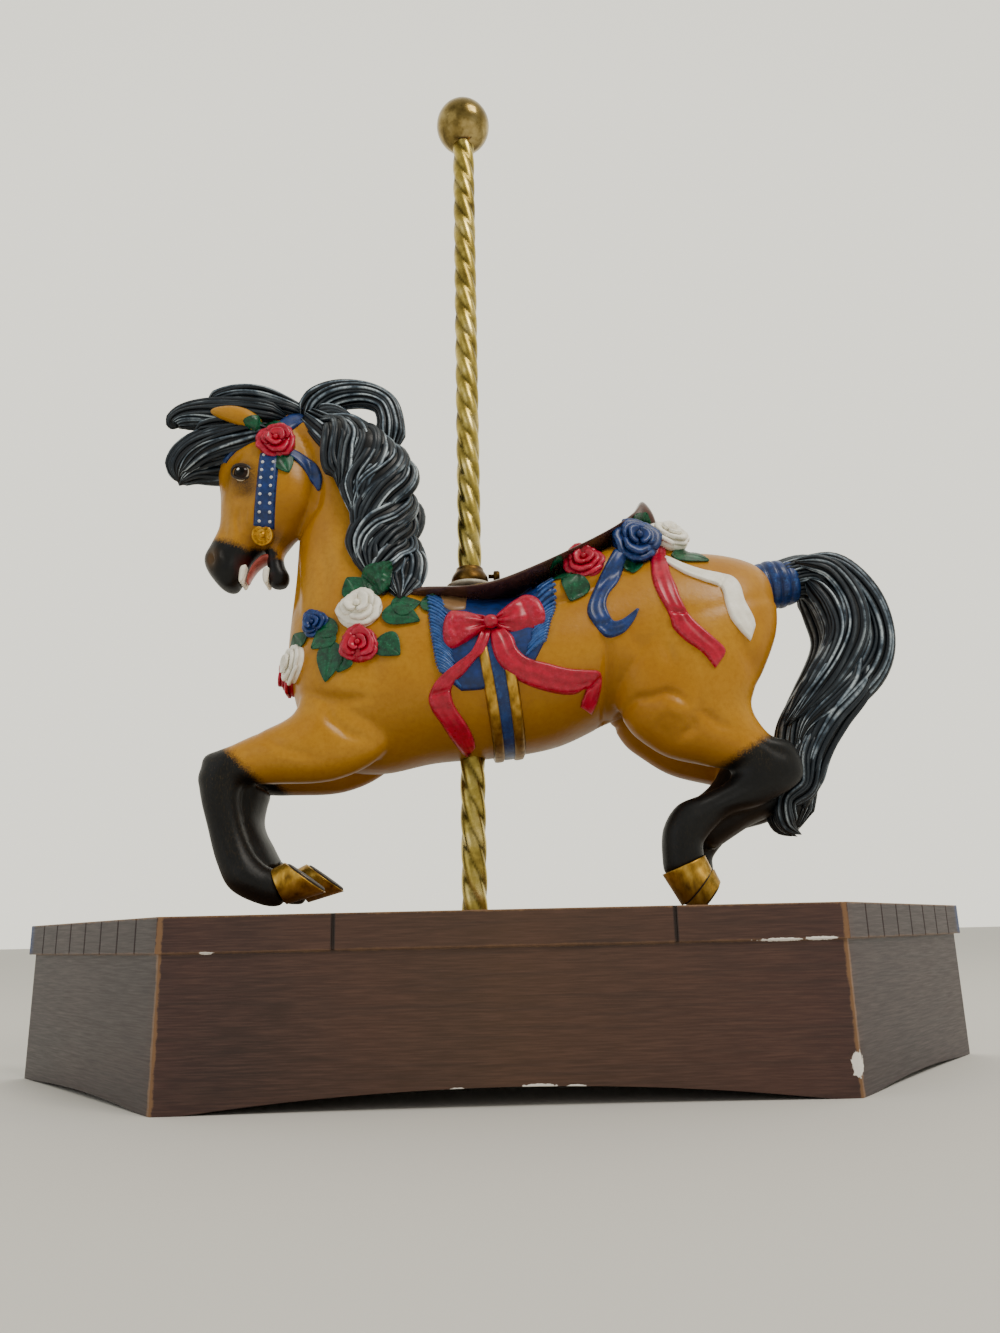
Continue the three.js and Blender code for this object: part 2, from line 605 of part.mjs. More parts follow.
// A long low arc, cut through the foot of a panel of the given length.
function archCut(length, rise, depth) {
  const radius = (length * length / 4 + rise * rise) / (2 * rise);
  const half = Math.asin(length / 2 / radius);
  const arc = new THREE.Shape();
  arc.moveTo(-length / 2, -CUT_OVER);
  arc.absarc(0, rise - radius, radius, Math.PI / 2 + half, Math.PI / 2 - half, true);
  arc.lineTo(length / 2, -CUT_OVER);
  arc.closePath();
  return new THREE.ExtrudeGeometry(arc, { depth, bevelEnabled: false, curveSegments: 10 })
    .rotateX(Math.PI / 2);
}

function platform() {
  const half = PLATFORM_DEPTH / 2;
  const block = slab(platformPlan(FRONT_HALF, BACK_HALF, PLATFORM_DEPTH),
    0, PLATFORM_HEIGHT - RIM_HEIGHT / 2);
  const rim = slab(platformPlan(FRONT_HALF + RIM_PROUD, BACK_HALF + RIM_END_PROUD,
    PLATFORM_DEPTH + 2 * RIM_PROUD), PLATFORM_HEIGHT - RIM_HEIGHT, PLATFORM_HEIGHT);
  let body = block.add(rim);
  const frontArch = archCut(2 * (FRONT_HALF - FOOT_LENGTH), ARCH_RISE, 2 * PLATFORM_DEPTH);
  body = body.subtract(solid(frontArch.translate(0, PLATFORM_DEPTH, 0)));
  const run = BACK_HALF - FRONT_HALF;
  const sideLength = Math.hypot(run, PLATFORM_DEPTH);
  const sideTurn = Math.atan2(PLATFORM_DEPTH, run);
  for (const side of [-1, 1]) {
    const cut = archCut(sideLength - 2 * FOOT_LENGTH, SIDE_ARCH_RISE, SIDE_ARCH_DEPTH)
      .translate(0, SIDE_ARCH_DEPTH / 2, 0)
      .rotateZ(side * sideTurn).translate(side * (FRONT_HALF + BACK_HALF) / 2, 0, 0);
    body = body.subtract(solid(cut));
  }
  for (const joint of deckGrooves(half)) body = body.subtract(joint);
  return body.subtract(poleHole(PLATFORM_HEIGHT - POLE_SOCKET - GAP, PLATFORM_HEIGHT + CUT_OVER));
}

// Grooves between the deck planks, which show as plank ends on the side rims, and the rim's joints.
function deckGrooves(half) {
  const top = PLATFORM_HEIGHT + CUT_OVER;
  const run = (BACK_HALF - FRONT_HALF) / PLATFORM_DEPTH;
  const grooves = [];
  for (let i = 1; i < PLANKS; i++) {
    const y = -half + (PLATFORM_DEPTH * i) / PLANKS;
    grooves.push(box(-BEYOND, BEYOND, y - GROOVE_WIDTH / 2, y + GROOVE_WIDTH / 2,
      PLATFORM_HEIGHT - GROOVE_DEPTH, top));
    const edge = FRONT_HALF + run * (y + half) + RIM_PROUD;
    for (const side of [-1, 1]) {
      const inner = side * (edge - GROOVE_DEPTH);
      const [x0, x1] = [Math.min(inner, side * BEYOND), Math.max(inner, side * BEYOND)];
      grooves.push(box(x0, x1, y - GROOVE_WIDTH / 2, y + GROOVE_WIDTH / 2,
        PLATFORM_HEIGHT - RIM_HEIGHT, top));
    }
  }
  for (const side of [-1, 1]) {
    const x = side * FRONT_HALF / 2;
    grooves.push(box(x - GROOVE_WIDTH / 2, x + GROOVE_WIDTH / 2, -BEYOND,
      -half - RIM_PROUD + GROOVE_DEPTH, PLATFORM_HEIGHT - RIM_HEIGHT, top));
  }
  return grooves;
}

// ---- pole and its fittings ----
function pole() {
  const z0 = PLATFORM_HEIGHT - POLE_SOCKET;
  const z1 = BALL_CENTRE - BALL_RADIUS + BALL_BORE_DEPTH - GAP;
  const twistPerMm = (2 * Math.PI) / POLE_LEAD;
  const stepsPerTurn = 8;
  const steps = Math.round(((z1 - z0) / POLE_LEAD) * stepsPerTurn);
  const rod = new THREE.CylinderGeometry(1, 1, z1 - z0, 2 * POLE_FLUTES, steps);
  const at = rod.attributes.position;
  for (let i = 0; i < at.count; i++) {
    const angle = Math.atan2(at.getZ(i), at.getX(i));
    const spoke = Math.hypot(at.getX(i), at.getZ(i));
    const ridge = Math.cos(POLE_FLUTES * angle) > 0 ? POLE_RADIUS : POLE_VALLEY;
    const height = at.getY(i) + (z0 + z1) / 2;
    const turned = angle + twistPerMm * height;
    at.setXYZ(i, POLE_X + spoke * ridge * Math.cos(turned), -spoke * ridge * Math.sin(turned), height);
  }
  return solid(rod);
}

function ball() {
  const sphere = solid(new THREE.SphereGeometry(BALL_RADIUS, 16, 10).rotateX(Math.PI / 2)
    .translate(POLE_X, 0, BALL_CENTRE));
  const foot = BALL_CENTRE - BALL_RADIUS;
  return sphere.subtract(poleHole(foot - CUT_OVER, foot + BALL_BORE_DEPTH));
}

function turned(profile, sides) {
  const points = profile.map(([r, z]) => new THREE.Vector2(r, z));
  return solid(new THREE.LatheGeometry(points, sides).rotateX(Math.PI / 2).translate(POLE_X, 0, 0));
}

const WASHER_FLOOR = SEAT_HEIGHT + GAP;
const COLLAR_FLOOR = WASHER_FLOOR + WASHER_THICK + GAP;
const COLLAR_TOP = COLLAR_FLOOR + COLLAR_HEIGHT;
const COLLAR_SHOULDERS = [3.2, 5.4];          // heights above its floor where it draws in
const COLLAR_RADII = [COLLAR_RADIUS, COLLAR_RADIUS - 0.8, COLLAR_RADIUS - 1.8];
const COLLAR_PROFILE = [
  [0, COLLAR_FLOOR], [COLLAR_RADII[0], COLLAR_FLOOR],
  [COLLAR_RADII[0], COLLAR_FLOOR + COLLAR_SHOULDERS[0]],
  [COLLAR_RADII[1], COLLAR_FLOOR + COLLAR_SHOULDERS[1]],
  [COLLAR_RADII[2], COLLAR_TOP], [0, COLLAR_TOP],
];
const SCREW_HEIGHT = COLLAR_FLOOR + SCREW_RISE + SCREW_RADIUS;

function collar() {
  return turned(COLLAR_PROFILE, 20).subtract(poleHole(COLLAR_FLOOR - CUT_OVER, COLLAR_TOP + CUT_OVER));
}

function washer() {
  const top = WASHER_FLOOR + WASHER_THICK;
  return drum(WASHER_RADIUS, WASHER_FLOOR, top, 20)
    .subtract(poleHole(WASHER_FLOOR - CUT_OVER, top + CUT_OVER));
}

// The set screw's knurled head, on a short shank that meets the collar's side.
function thumbScrew() {
  const start = POLE_X + COLLAR_RADIUS + GAP;
  const profile = [
    [0, 0], [SHANK_RADIUS, 0], [SHANK_RADIUS, SHANK_LENGTH], [SCREW_RADIUS, SHANK_LENGTH],
    [SCREW_RADIUS, SCREW_LENGTH], [0, SCREW_LENGTH],
  ];
  const points = profile.map(([r, z]) => new THREE.Vector2(r, z));
  return solid(new THREE.LatheGeometry(points, 14).rotateZ(-Math.PI / 2)
    .translate(start, 0, SCREW_HEIGHT));
}

const model = new THREE.Group();
model.add(finished('platform', platform(), materials.platform));
model.add(finished('horse', horse(), materials.horse));
model.add(finished('pole', pole(), materials.pole));
model.add(finished('finial_ball', ball(), materials.ball));
model.add(finished('collar', collar(), materials.collar));
model.add(finished('thumb_screw', thumbScrew(), materials.collar));
model.add(finished('washer', washer(), materials.washer));

export default model;
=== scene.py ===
"""A cast ceramic carousel horse on a twisted brass pole, over a half-hexagon platform.

Every size is in millimetres until a mesh is finished, and metres after that. The horse faces -X and its
dressed side faces -Y.
"""

import math
import random

import bmesh
import bpy
import numpy as np
from mathutils import Matrix, Vector
from mathutils.bvhtree import BVHTree


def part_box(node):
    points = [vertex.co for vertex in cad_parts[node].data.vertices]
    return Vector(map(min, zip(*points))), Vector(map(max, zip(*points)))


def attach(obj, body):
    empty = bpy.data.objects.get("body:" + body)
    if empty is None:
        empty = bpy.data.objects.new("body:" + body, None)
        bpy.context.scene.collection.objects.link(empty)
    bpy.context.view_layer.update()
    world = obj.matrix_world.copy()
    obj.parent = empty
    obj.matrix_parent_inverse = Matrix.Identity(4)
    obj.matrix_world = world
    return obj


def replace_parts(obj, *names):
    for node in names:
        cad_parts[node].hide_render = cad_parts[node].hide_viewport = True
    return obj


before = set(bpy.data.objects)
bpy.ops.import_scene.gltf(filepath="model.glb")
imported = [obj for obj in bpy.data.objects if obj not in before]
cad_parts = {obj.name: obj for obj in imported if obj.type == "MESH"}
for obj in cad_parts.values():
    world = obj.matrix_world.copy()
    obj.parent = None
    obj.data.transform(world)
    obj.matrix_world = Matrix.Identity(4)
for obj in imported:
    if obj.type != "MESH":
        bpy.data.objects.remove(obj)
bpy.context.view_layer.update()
MM = 0.001

# ---- places read from the frame: lowest and highest corners in metres, then millimetres ----
BOX = {name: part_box(name) for name in ("platform", "pole", "finial_ball", "collar", "washer", "thumb_screw")}
DECK = BOX["platform"][1][2] / MM
POLE_X = (BOX["pole"][0][0] + BOX["pole"][1][0]) / 2 / MM


def radius_of(name):
    """Half a part's width in X, in millimetres."""
    low, high = BOX[name]
    return (high[0] - low[0]) / 2 / MM


# ---- sizes that are fixed here, in millimetres ----
FRONT_HALF = 139.0
RIM_HEIGHT = 14.5
PLATFORM_ARRIS = 0.45
POLE_LEAD = 60.0
POLE_FLUTES = 4
BALL_CENTRE = 523.0
SKIN_VOXEL = 1.3
UNDERLAP = 1.2  # how far a trimming reaches down into the body below it
THINNEST = 0.05  # how far a trimming's edge stands out
LEG_Y = 20.0
FAR_FORE_SHIFT = (3, 2)
FAR_HIND_SHIFT = (13, -4)

# ---- outlines: front or top edge x, z, back or lower edge x, z, half thickness ----
TRUNK = [
    (-101, 196, -100, 178, 10), (-94, 214, -91, 160, 24), (-80, 232, -77, 145, 32),
    (-58, 238, -56, 142, 37), (-30, 234, -30, 147, 40), (0, 228, 0, 149, 41), (30, 233, 30, 154, 41),
    (58, 244, 60, 167, 38), (84, 251, 84, 172, 37), (110, 251, 108, 170, 36), (130, 246, 126, 184, 30),
    (141, 236, 139, 203, 17),
]
NECK = [
    (-104, 196, -28, 190, 30), (-103, 215, -32, 224, 27), (-101, 238, -42, 250, 23),
    (-100, 260, -50, 276, 19), (-98, 284, -58, 300, 17), (-101, 306, -70, 320, 15),
    (-110, 322, -90, 334, 12),
]
SKULL = [
    (-118, 332, -96, 337, 8), (-136, 317, -92, 318, 15), (-143, 303, -87, 297, 20),
    (-141.5, 287, -88, 280, 19), (-141.5, 272, -101, 266, 15), (-145, 262, -117, 259, 12),
    (-148, 254, -124, 252, 11.5), (-145, 246, -127, 244, 11), (-138, 237, -131, 236, 7),
]
LOWER_JAW = [
    (-118, 268, -98, 270, 12), (-117, 258, -107, 258, 8), (-116, 250, -107.5, 251, 6.5),
    (-115.5, 243, -104.5, 244, 7), (-113, 237.5, -106, 238.5, 4),
]
FORELEG = [
    (-92, 182, -40, 166, 9), (-96, 168, -56, 146, 11.5), (-110, 160, -78, 136, 12),
    (-123, 154, -106, 135, 10), (-136, 147, -118, 134.5, 9.5), (-138.5, 133, -120, 126, 9),
    (-134, 115, -117, 113, 7.5), (-129, 99, -112, 103, 8), (-122, 87, -107, 98, 9),
    (-107, 80, -103, 96, 8.5), (-97, 80, -101, 95, 8.5),
]
FORE_HOOF = [
    (-96.5, 80.5, -104, 96, 9), (-79, 85.5, -98, 99, 11.5),
]
HINDLEG = [
    (58, 208, 138, 228, 16), (54, 184, 136.5, 205, 19), (60, 162, 127.5, 183, 18), (76, 146, 121, 168, 15),
    (96, 140, 128, 154, 12), (109, 137, 139, 149, 10), (105, 131, 142, 133, 9.5),
    (94, 126, 124, 121.5, 8.5), (82, 121, 106, 116, 8), (75, 110, 94, 105, 8.5), (74, 96, 93, 99, 8.5),
    (75, 88, 93, 96.5, 8.5),
]
HIND_HOOF = [
    (73.8, 89.5, 93.5, 98, 9), (82, 75.4, 96, 92, 11),
]
CROUP_RISE = [
    (6, 224, 6, 198, 34), (26, 235, 24, 205, 36), (44, 246, 42, 212, 34), (60, 256, 58, 222, 29),
    (71, 264, 70, 232, 22), (84, 259, 84, 238, 17), (100, 252, 100, 236, 17),
]
FORE_WEB = [
    (-134, 146, -110, 134.5, 17), (-130, 124, -113, 119, 17), (-125, 106, -107.5, 107, 17),
    (-119, 91, -103, 99, 16),
]
HIND_WEB = [
    (112, 148, 140, 146, 18), (104, 134, 136, 122, 18), (92, 124, 119, 112, 18), (84, 112, 101, 101, 16),
]


def on_side(stations, side, shift=(0, 0), start=-3):
    """A leg or hoof on one side of the horse; a shift in X and Z grows in over three stations."""
    out = []
    for i, (ax, az, bx, bz, w) in enumerate(stations):
        t = min(1, max(0, (i - start + 1) / 3))
        dx, dz = t * shift[0], t * shift[1]
        out.append((ax + dx, az + dz, bx + dx, bz + dz, w, side * LEG_Y))
    return out


# ---- curves ----
def along(points, t):
    """A smooth curve through rows of numbers, at t from 0 to 1."""
    last = len(points) - 1
    place = min(max(t, 0.0), 1.0) * last
    i = min(int(place), last - 1)
    f = place - i
    p0, p1 = points[max(i - 1, 0)], points[i]
    p2, p3 = points[i + 1], points[min(i + 2, last)]
    return [
        0.5 * ((2 * b) + (c - a) * f + (2 * a - 5 * b + 4 * c - d) * f * f + (3 * b - a - 3 * c + d) * f ** 3)
        for a, b, c, d in zip(p0, p1, p2, p3)
    ]


def smoothstep(low, high, value):
    """0 at low and below, 1 at high and above, and an even rise between them."""
    t = min(max((value - low) / (high - low), 0.0), 1.0)
    return t * t * (3 - 2 * t)


def turns(count):
    """Angles in equal steps right round a circle."""
    return [2 * math.pi * i / count for i in range(count)]


def shares(count):
    """Numbers in equal steps from 0 to 1."""
    return [i / count for i in range(count + 1)]


# ---- making pieces ----
def new_piece(name, bm, material, flat=False):
    """Turns a bmesh in millimetres into a finished piece that rides on the root body."""
    bmesh.ops.recalc_face_normals(bm, faces=bm.faces)
    mesh = bpy.data.meshes.new(name)
    bm.to_mesh(mesh)
    bm.free()
    mesh.transform(Matrix.Scale(MM, 4))
    if not flat:
        mesh.shade_smooth()
    piece = bpy.data.objects.new(name, mesh)
    bpy.context.scene.collection.objects.link(piece)
    mesh.materials.append(M[material])
    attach(piece, "root")
    return piece


def limb(bm, stations, sides, steps, round_ends=0.05):
    """A closed body whose rings run between two outline edges; a sixth number moves a station in Y."""
    ball = bmesh.ops.create_uvsphere(bm, u_segments=sides, v_segments=steps, radius=1.0)
    rows = [tuple(s) + ((0.0,) if len(s) == 5 else ()) for s in stations]
    for v in ball["verts"]:
        t = math.acos(max(-1.0, min(1.0, v.co.z))) / math.pi
        angle = math.atan2(v.co.y, v.co.x)
        near_end = min(t, 1 - t) / round_ends
        scale = math.sqrt(1 - (1 - min(near_end, 1)) ** 2)
        ax, az, bx, bz, w, y = along(rows, t)
        reach = 0.5 * scale * math.cos(angle)
        v.co = (
            (ax + bx) / 2 + (ax - bx) * reach,
            y + w * scale * math.sin(angle),
            (az + bz) / 2 + (az - bz) * reach,
        )
    return ball["verts"]


def remeshed(bm, voxel):
    """One skin over overlapping bodies."""
    mesh = bpy.data.meshes.new("clay")
    bm.to_mesh(mesh)
    bm.free()
    lump = bpy.data.objects.new("clay", mesh)
    bpy.context.scene.collection.objects.link(lump)
    merge = lump.modifiers.new("merge", "REMESH")
    merge.mode = "VOXEL"
    merge.voxel_size = voxel
    graph = bpy.context.evaluated_depsgraph_get()
    skin = bpy.data.meshes.new_from_object(lump.evaluated_get(graph))
    bpy.data.objects.remove(lump)
    bpy.data.meshes.remove(mesh)
    return skin


class Clay:
    """The points of a mesh, with the strokes that model them."""

    def __init__(self, mesh):
        self.mesh = mesh
        n = len(mesh.vertices)
        self.co = np.empty(3 * n)
        mesh.vertices.foreach_get("co", self.co)
        self.co = self.co.reshape(n, 3)
        edges = np.empty(2 * len(mesh.edges), dtype=np.int64)
        mesh.edges.foreach_get("vertices", edges)
        self.edges = edges.reshape(-1, 2)
        self.degree = np.bincount(edges, minlength=n).clip(1)[:, None]

    def neighbour_mean(self):
        """The mean place of each point's neighbours."""
        total = np.zeros_like(self.co)
        a, b = self.edges.T
        np.add.at(total, a, self.co[b])
        np.add.at(total, b, self.co[a])
        return total / self.degree

    def smooth(self, rounds, amount):
        """Rubs the surface smooth; every second pass pushes back out, so thin parts keep their size."""
        for _ in range(rounds):
            for step in (amount, -amount * 1.03):
                self.co += (self.neighbour_mean() - self.co) * step

    def normals(self):
        self.write()
        out = np.empty(3 * len(self.co))
        self.mesh.vertex_normals.foreach_get("vector", out)
        return out.reshape(-1, 3)

    def write(self):
        self.mesh.vertices.foreach_set("co", self.co.ravel())
        self.mesh.update()

    def swell(self, centre, radii, amount):
        """Raises or sinks a soft oval patch on both sides."""
        normal = self.normals()
        for side in (-1, 1):
            u, v, w = ((self.co - np.array([centre[0], side * centre[1], centre[2]])) / radii).T
            self.co += normal * (amount * np.exp(-(u * u + v * v + w * w)))[:, None]

    def stroke(self, path, width, amount, inner=2):
        """Presses or raises a soft line along a path of x, z points, further out than inner on both sides."""
        normal = self.normals()
        flat = self.co[:, [0, 2]]
        best = np.full(len(flat), 1e9)
        where = np.zeros(len(flat))
        spans = len(path) - 1
        for i in range(spans):
            a, b = np.array(path[i], float), np.array(path[i + 1], float)
            t = np.clip(((flat - a) @ (b - a)) / ((b - a) @ (b - a)), 0, 1)
            d = np.linalg.norm(flat - a - t[:, None] * (b - a), axis=1)
            closer = d < best
            best[closer] = d[closer]
            where[closer] = (i + t[closer]) / spans
        strength = np.exp(-((best / width) ** 2)) * (np.abs(self.co[:, 1]) > inner)
        strength *= np.sin(np.pi * np.clip(where, 0.04, 0.96)) ** 0.6
        self.co += normal * (amount * strength)[:, None]


# ---- building materials ----
def linear(hex_colour):
    """An sRGB hex value as the linear colour that shaders want."""
    raw = [int(hex_colour[i : i + 2], 16) / 255 for i in (1, 3, 5)]
    return [c / 12.92 if c <= 0.04045 else ((c + 0.055) / 1.055) ** 2.4 for c in raw] + [1.0]


class Value:
    """A node's output; sums, differences and products of values and numbers add maths nodes."""

    def __init__(self, socket):
        self.socket = socket
        self.tree = socket.id_data

    def __add__(self, other):
        return calc("ADD", self, other)

    def __sub__(self, other):
        return calc("SUBTRACT", self, other)

    def __mul__(self, other):
        return calc("MULTIPLY", self, other)

    def __abs__(self):
        return calc("ABSOLUTE", self)

    def ramp(self, *stops):
        """The value led through stops, each a place and a grey level or a hex colour."""
        node = add(self.tree, "ShaderNodeValToRGB", {"Fac": self})
        points = node.color_ramp.elements
        while len(points) < len(stops):
            points.new(0.5)
        for point, (place, colour) in zip(points, stops):
            point.position = place
            point.color = linear(colour) if isinstance(colour, str) else (colour, colour, colour, 1)
        return Value(node.outputs["Color"])


def feed(socket, value):
    """Gives an input another node's output, a hex colour or a number."""
    if isinstance(value, Value):
        socket.id_data.links.new(value.socket, socket)
    else:
        socket.default_value = linear(value) if isinstance(value, str) else value


def add(tree, kind, inputs=None, **settings):
    """Adds a node with its settings, and feeds its inputs."""
    node = tree.nodes.new(kind)
    for key, value in settings.items():
        setattr(node, key, value)
    for key, value in (inputs or {}).items():
        feed(node.inputs[key], value)
    return node


def calc(operation, a, b=0.0, clamp=False):
    """A maths node on two numbers or values."""
    tree = a.tree if isinstance(a, Value) else b.tree
    return Value(add(tree, "ShaderNodeMath", {0: a, 1: b}, operation=operation, use_clamp=clamp).outputs[0])


def blend(factor, a, b):
    """Mixes two colours, each a hex value or a node's output; a mix node keeps colours in sockets 6 and 7."""
    tree = next(one.tree for one in (factor, a, b) if isinstance(one, Value))
    return Value(add(tree, "ShaderNodeMix", {0: factor, 6: a, 7: b}, data_type="RGBA").outputs[2])


class Paint:
    """A new material, with short ways to build its nodes."""

    def __init__(self, name):
        self.material = bpy.data.materials.new(name)
        self.material.use_nodes = True
        self.tree = self.material.node_tree

    def place(self):
        """The piece's own coordinates, in metres."""
        return Value(add(self.tree, "ShaderNodeTexCoord").outputs["Object"])

    def grain(self, scale, detail=4.0, roughness=0.55, stretch=(1, 1, 1)):
        """Noise in marks per metre, with more or fewer of them along each axis."""
        place = add(self.tree, "ShaderNodeMapping", {"Vector": self.place(), "Scale": stretch}).outputs[0]
        sizes = {"Scale": scale, "Detail": detail, "Roughness": roughness}
        return Value(add(self.tree, "ShaderNodeTexNoise", {"Vector": Value(place), **sizes}).outputs["Fac"])

    def painted(self, name):
        """A number painted on the piece's points, and 0 where none is."""
        return Value(add(self.tree, "ShaderNodeAttribute", attribute_name=name).outputs["Fac"])

    def done(self, height, strength, depth, **inputs):
        """Feeds the shader, adds a bump with its depth in millimetres, and gives the material."""
        bump = {"Height": height, "Strength": strength, "Distance": depth * MM}
        inputs["Normal"] = Value(add(self.tree, "ShaderNodeBump", bump).outputs[0])
        for name, value in inputs.items():
            feed(self.tree.nodes["Principled BSDF"].inputs[name.replace("_", " ")], value)
        return self.material


# ---- the materials ----
BRUSH_MARKS = 260.0


def paint(name, low, high, accent=None, rough=(0.32, 0.5)):
    """Hand-brushed acrylic under a clear coat: two close tones in brush marks.

    To the eye it is satin, a little streaky, and lighter where the brush dragged over high places.
    """
    new = Paint(name)
    marks = new.grain(BRUSH_MARKS, 5, 0.6)
    tone = blend(marks.ramp((0.35, 0.0), (0.68, 1.0)), low, high)
    if accent:
        streak = new.grain(BRUSH_MARKS * 2.6, 4, 0.7).ramp((0.5, 0.0), (0.7, 0.85))
        tone = blend(calc("MULTIPLY", new.painted("crest"), streak, clamp=True), tone, accent)
    gloss = new.grain(90, 3).ramp((0.3, rough[0]), (0.7, rough[1]))
    return new.done(marks, 0.25, 0.25, Base_Color=tone, Roughness=gloss, Specular_IOR_Level=0.4,
                    Coat_Weight=0.12, Coat_Roughness=0.22)


def coat_paint():
    """The horse's coat: ochre acrylic with black points feathered in with a dry brush, satin varnish."""
    new = Paint("painted_ceramic_ochre_coat")
    broad = new.grain(22, 3)
    fine = new.grain(420, 4, 0.6)
    ochre = blend(broad.ramp((0.35, 0.0), (0.65, 1.0)), "#A87008", "#BA851C")
    ochre = blend(fine.ramp((0.4, 0.0), (0.75, 0.5)), ochre, "#9C6402")
    # painted shade: the ochre turns a darker brown wherever the skin faces down
    ochre = blend(new.painted("under"), ochre, "#744C02")
    specks = new.grain(1800, 2, 0.5, (1, 1, 0.5)).ramp((0.70, 0.0), (0.76, 0.6))
    ochre = blend(specks * 0.3, ochre, "#5E3800")
    feather = new.grain(1300, 5, 0.75)
    ragged_points = (new.painted("point") - 0.12) * 1.5 + (feather - 0.5) * 1.15
    black_here = ragged_points.ramp((0.28, 0.0), (0.74, 1.0))
    black = blend(fine.ramp((0.4, 0.0), (0.7, 1.0)), "#010203", "#05070A")
    bristle = new.grain(1500, 4, 0.8, (1, 1, 0.3)).ramp((0.52, 0.0), (0.7, 0.38))
    black = blend(new.painted("dry") * bristle, black, "#5A4828")
    colour = blend(black_here, ochre, black)
    colour = blend(new.painted("smudge") * feather.ramp((0.3, 0.4), (0.6, 1.0)), colour, "#17120D")
    colour = blend(new.painted("nostril"), colour, "#5A4020")
    colour = blend(new.painted("mouth"), colour, "#5A1714")
    satin = new.grain(60, 3).ramp((0.3, 0.3), (0.7, 0.42))
    varnish = broad.ramp((0.0, 0.4), (1.0, 0.5))
    return new.done(blend(0.5, new.grain(230, 4, 0.6), fine), 0.4, 0.5, Base_Color=colour,
                    Roughness=blend(black_here, satin, varnish), Specular_IOR_Level=0.3)


def hair_paint(name, streaked):
    """Carved hair: blue-black acrylic, its ridges dragged with a nearly dry pale grey-blue brush.

    The streaks are strongest on the mane, a little fainter on the tail, and fainter still on the forelock.
    """
    new = Paint(name)
    crest = new.painted("crest")
    broken = new.grain(700, 5, 0.75)
    patch = new.grain(80, 3, 0.6)
    base = blend(crest.ramp((0.3, 0.0), (1.0, 1.0)), "#02050A", "#0F1A24")
    lit = crest.ramp((0.84, 0.0), (0.99, 1.0)) * broken.ramp((0.34, 0.25), (0.5, 1.0))
    lit = lit * patch.ramp((0.38, 0.15), (0.58, 1.0))
    lit = lit * new.painted("strand").ramp((0.35, 0.08), (0.7, 1.0))
    cool = blend(patch.ramp((0.4, 0.0), (0.6, 1.0)), "#86A2BC", "#CFDEE8")
    return new.done(broken, 0.3, 0.2, Base_Color=blend(lit * streaked, base, cool),
                    Roughness=broken.ramp((0.3, 0.34), (0.7, 0.5)), Specular_IOR_Level=0.35)


def gold_paint(name, wear_and_shade_colour, mid, bright, rough):
    """Gold hobby paint: fine metal flakes in varnish, brown where it is rubbed, and the same brown laid on as
    painted shade where a piece marks it.
    """
    new = Paint(name)
    wear = new.grain(300, 3, 0.5, (1, 1, 0.5))
    # the brown serves both the rubbed wear and the painted shade
    colour = blend(new.painted("shade"), wear.ramp((0.25, wear_and_shade_colour), (0.48, mid), (0.8, bright)), wear_and_shade_colour)
    return new.done(new.grain(1100, 3, 0.6), 0.15, 0.15, Base_Color=colour, Metallic=0.8,
                    Roughness=wear.ramp((0.3, rough + 0.12), (0.7, rough)))


def brass(name, dark, mid, light, rough, spots, pits):
    """Lacquered brass with brown tarnish in spots and rings where the lacquer has failed."""
    new = Paint(name)
    cloud = new.grain(70, 6, 0.65)
    colour = cloud.ramp((0.3, dark), (0.5, mid), (0.72, light))
    # painted shade, with the tarnish that gathers there: darker down the grooves of the twist
    colour = blend(new.painted("groove") * 0.85, colour, "#2A2008")
    stain = new.grain(620, 5, 0.7).ramp((0.60, 0.0), (0.70, spots))
    return new.done(new.grain(1300, 3, 0.6), pits, 0.1, Base_Color=blend(stain, colour, dark), Metallic=1.0,
                    Roughness=cloud.ramp((0.3, rough[1]), (0.7, rough[0])))


def eye_glaze():
    """A painted eye under gloss: black pupil, dark brown iris and pale corners, with a painted highlight for
    its white catchlight.
    """
    new = Paint("glazed_brown_eye")
    ring = new.painted("iris") + new.grain(900, 3) * 0.04
    colour = ring.ramp((0.0, "#010101"), (0.34, "#030202"), (0.4, "#1E0F06"), (0.56, "#281509"),
                       (0.62, "#060403"), (0.72, "#C9BBA2"))
    # painted highlight: the white catchlight dot
    return new.done(ring, 0.05, 0.05, Base_Color=blend(new.painted("glint"), colour, "#FFFFFF"),
                    Roughness=0.14, Specular_IOR_Level=0.2)


def chip(new, centre, radii):
    """One inside an oval patch with a ragged edge; centre and radii are in millimetres."""
    patch = {"Vector": new.place(), "Location": [c * MM for c in centre], "Scale": [r * MM for r in radii]}
    moved = Value(add(new.tree, "ShaderNodeMapping", patch, vector_type="TEXTURE").outputs[0])
    far = add(new.tree, "ShaderNodeVectorMath", {0: moved}, operation="LENGTH").outputs["Value"]
    return (Value(far) + (new.grain(600, 4, 0.7) - 0.5) * 1.4).ramp((0.92, 1.0), (1.0, 0.0))


def near_to(value, place, reach):
    """One where a coordinate in metres is within reach of a place in millimetres, soft at the end."""
    return (abs(value - place * MM) * 10.0).ramp((0.008 * reach, 1.0), (0.012 * reach, 0.0))


def rubbed(distance, wear, widest, strength):
    """A broken line of wear along an arris: distance in metres from it, widest in millimetres."""
    return ((wear * (widest * MM) - distance) * 900.0).ramp((0.1, 0.0), (0.8, strength))


PLATFORM_CHIPS = [
    ((138.5, -65, 12.5), (3.0, 6, 5.0)), ((12, -65, 7.6), (7.0, 4, 0.9)), ((26, -65, 7.2), (4.0, 4, 0.7)),
    ((-20, -65, 7.2), (3.0, 4, 0.6)), ((112, -66, 60.6), (10.0, 3, 0.7)), ((128, -66, 60.8), (7.0, 3, 0.8)),
    ((-120, -66, 60.4), (3.0, 3, 0.6)),
]


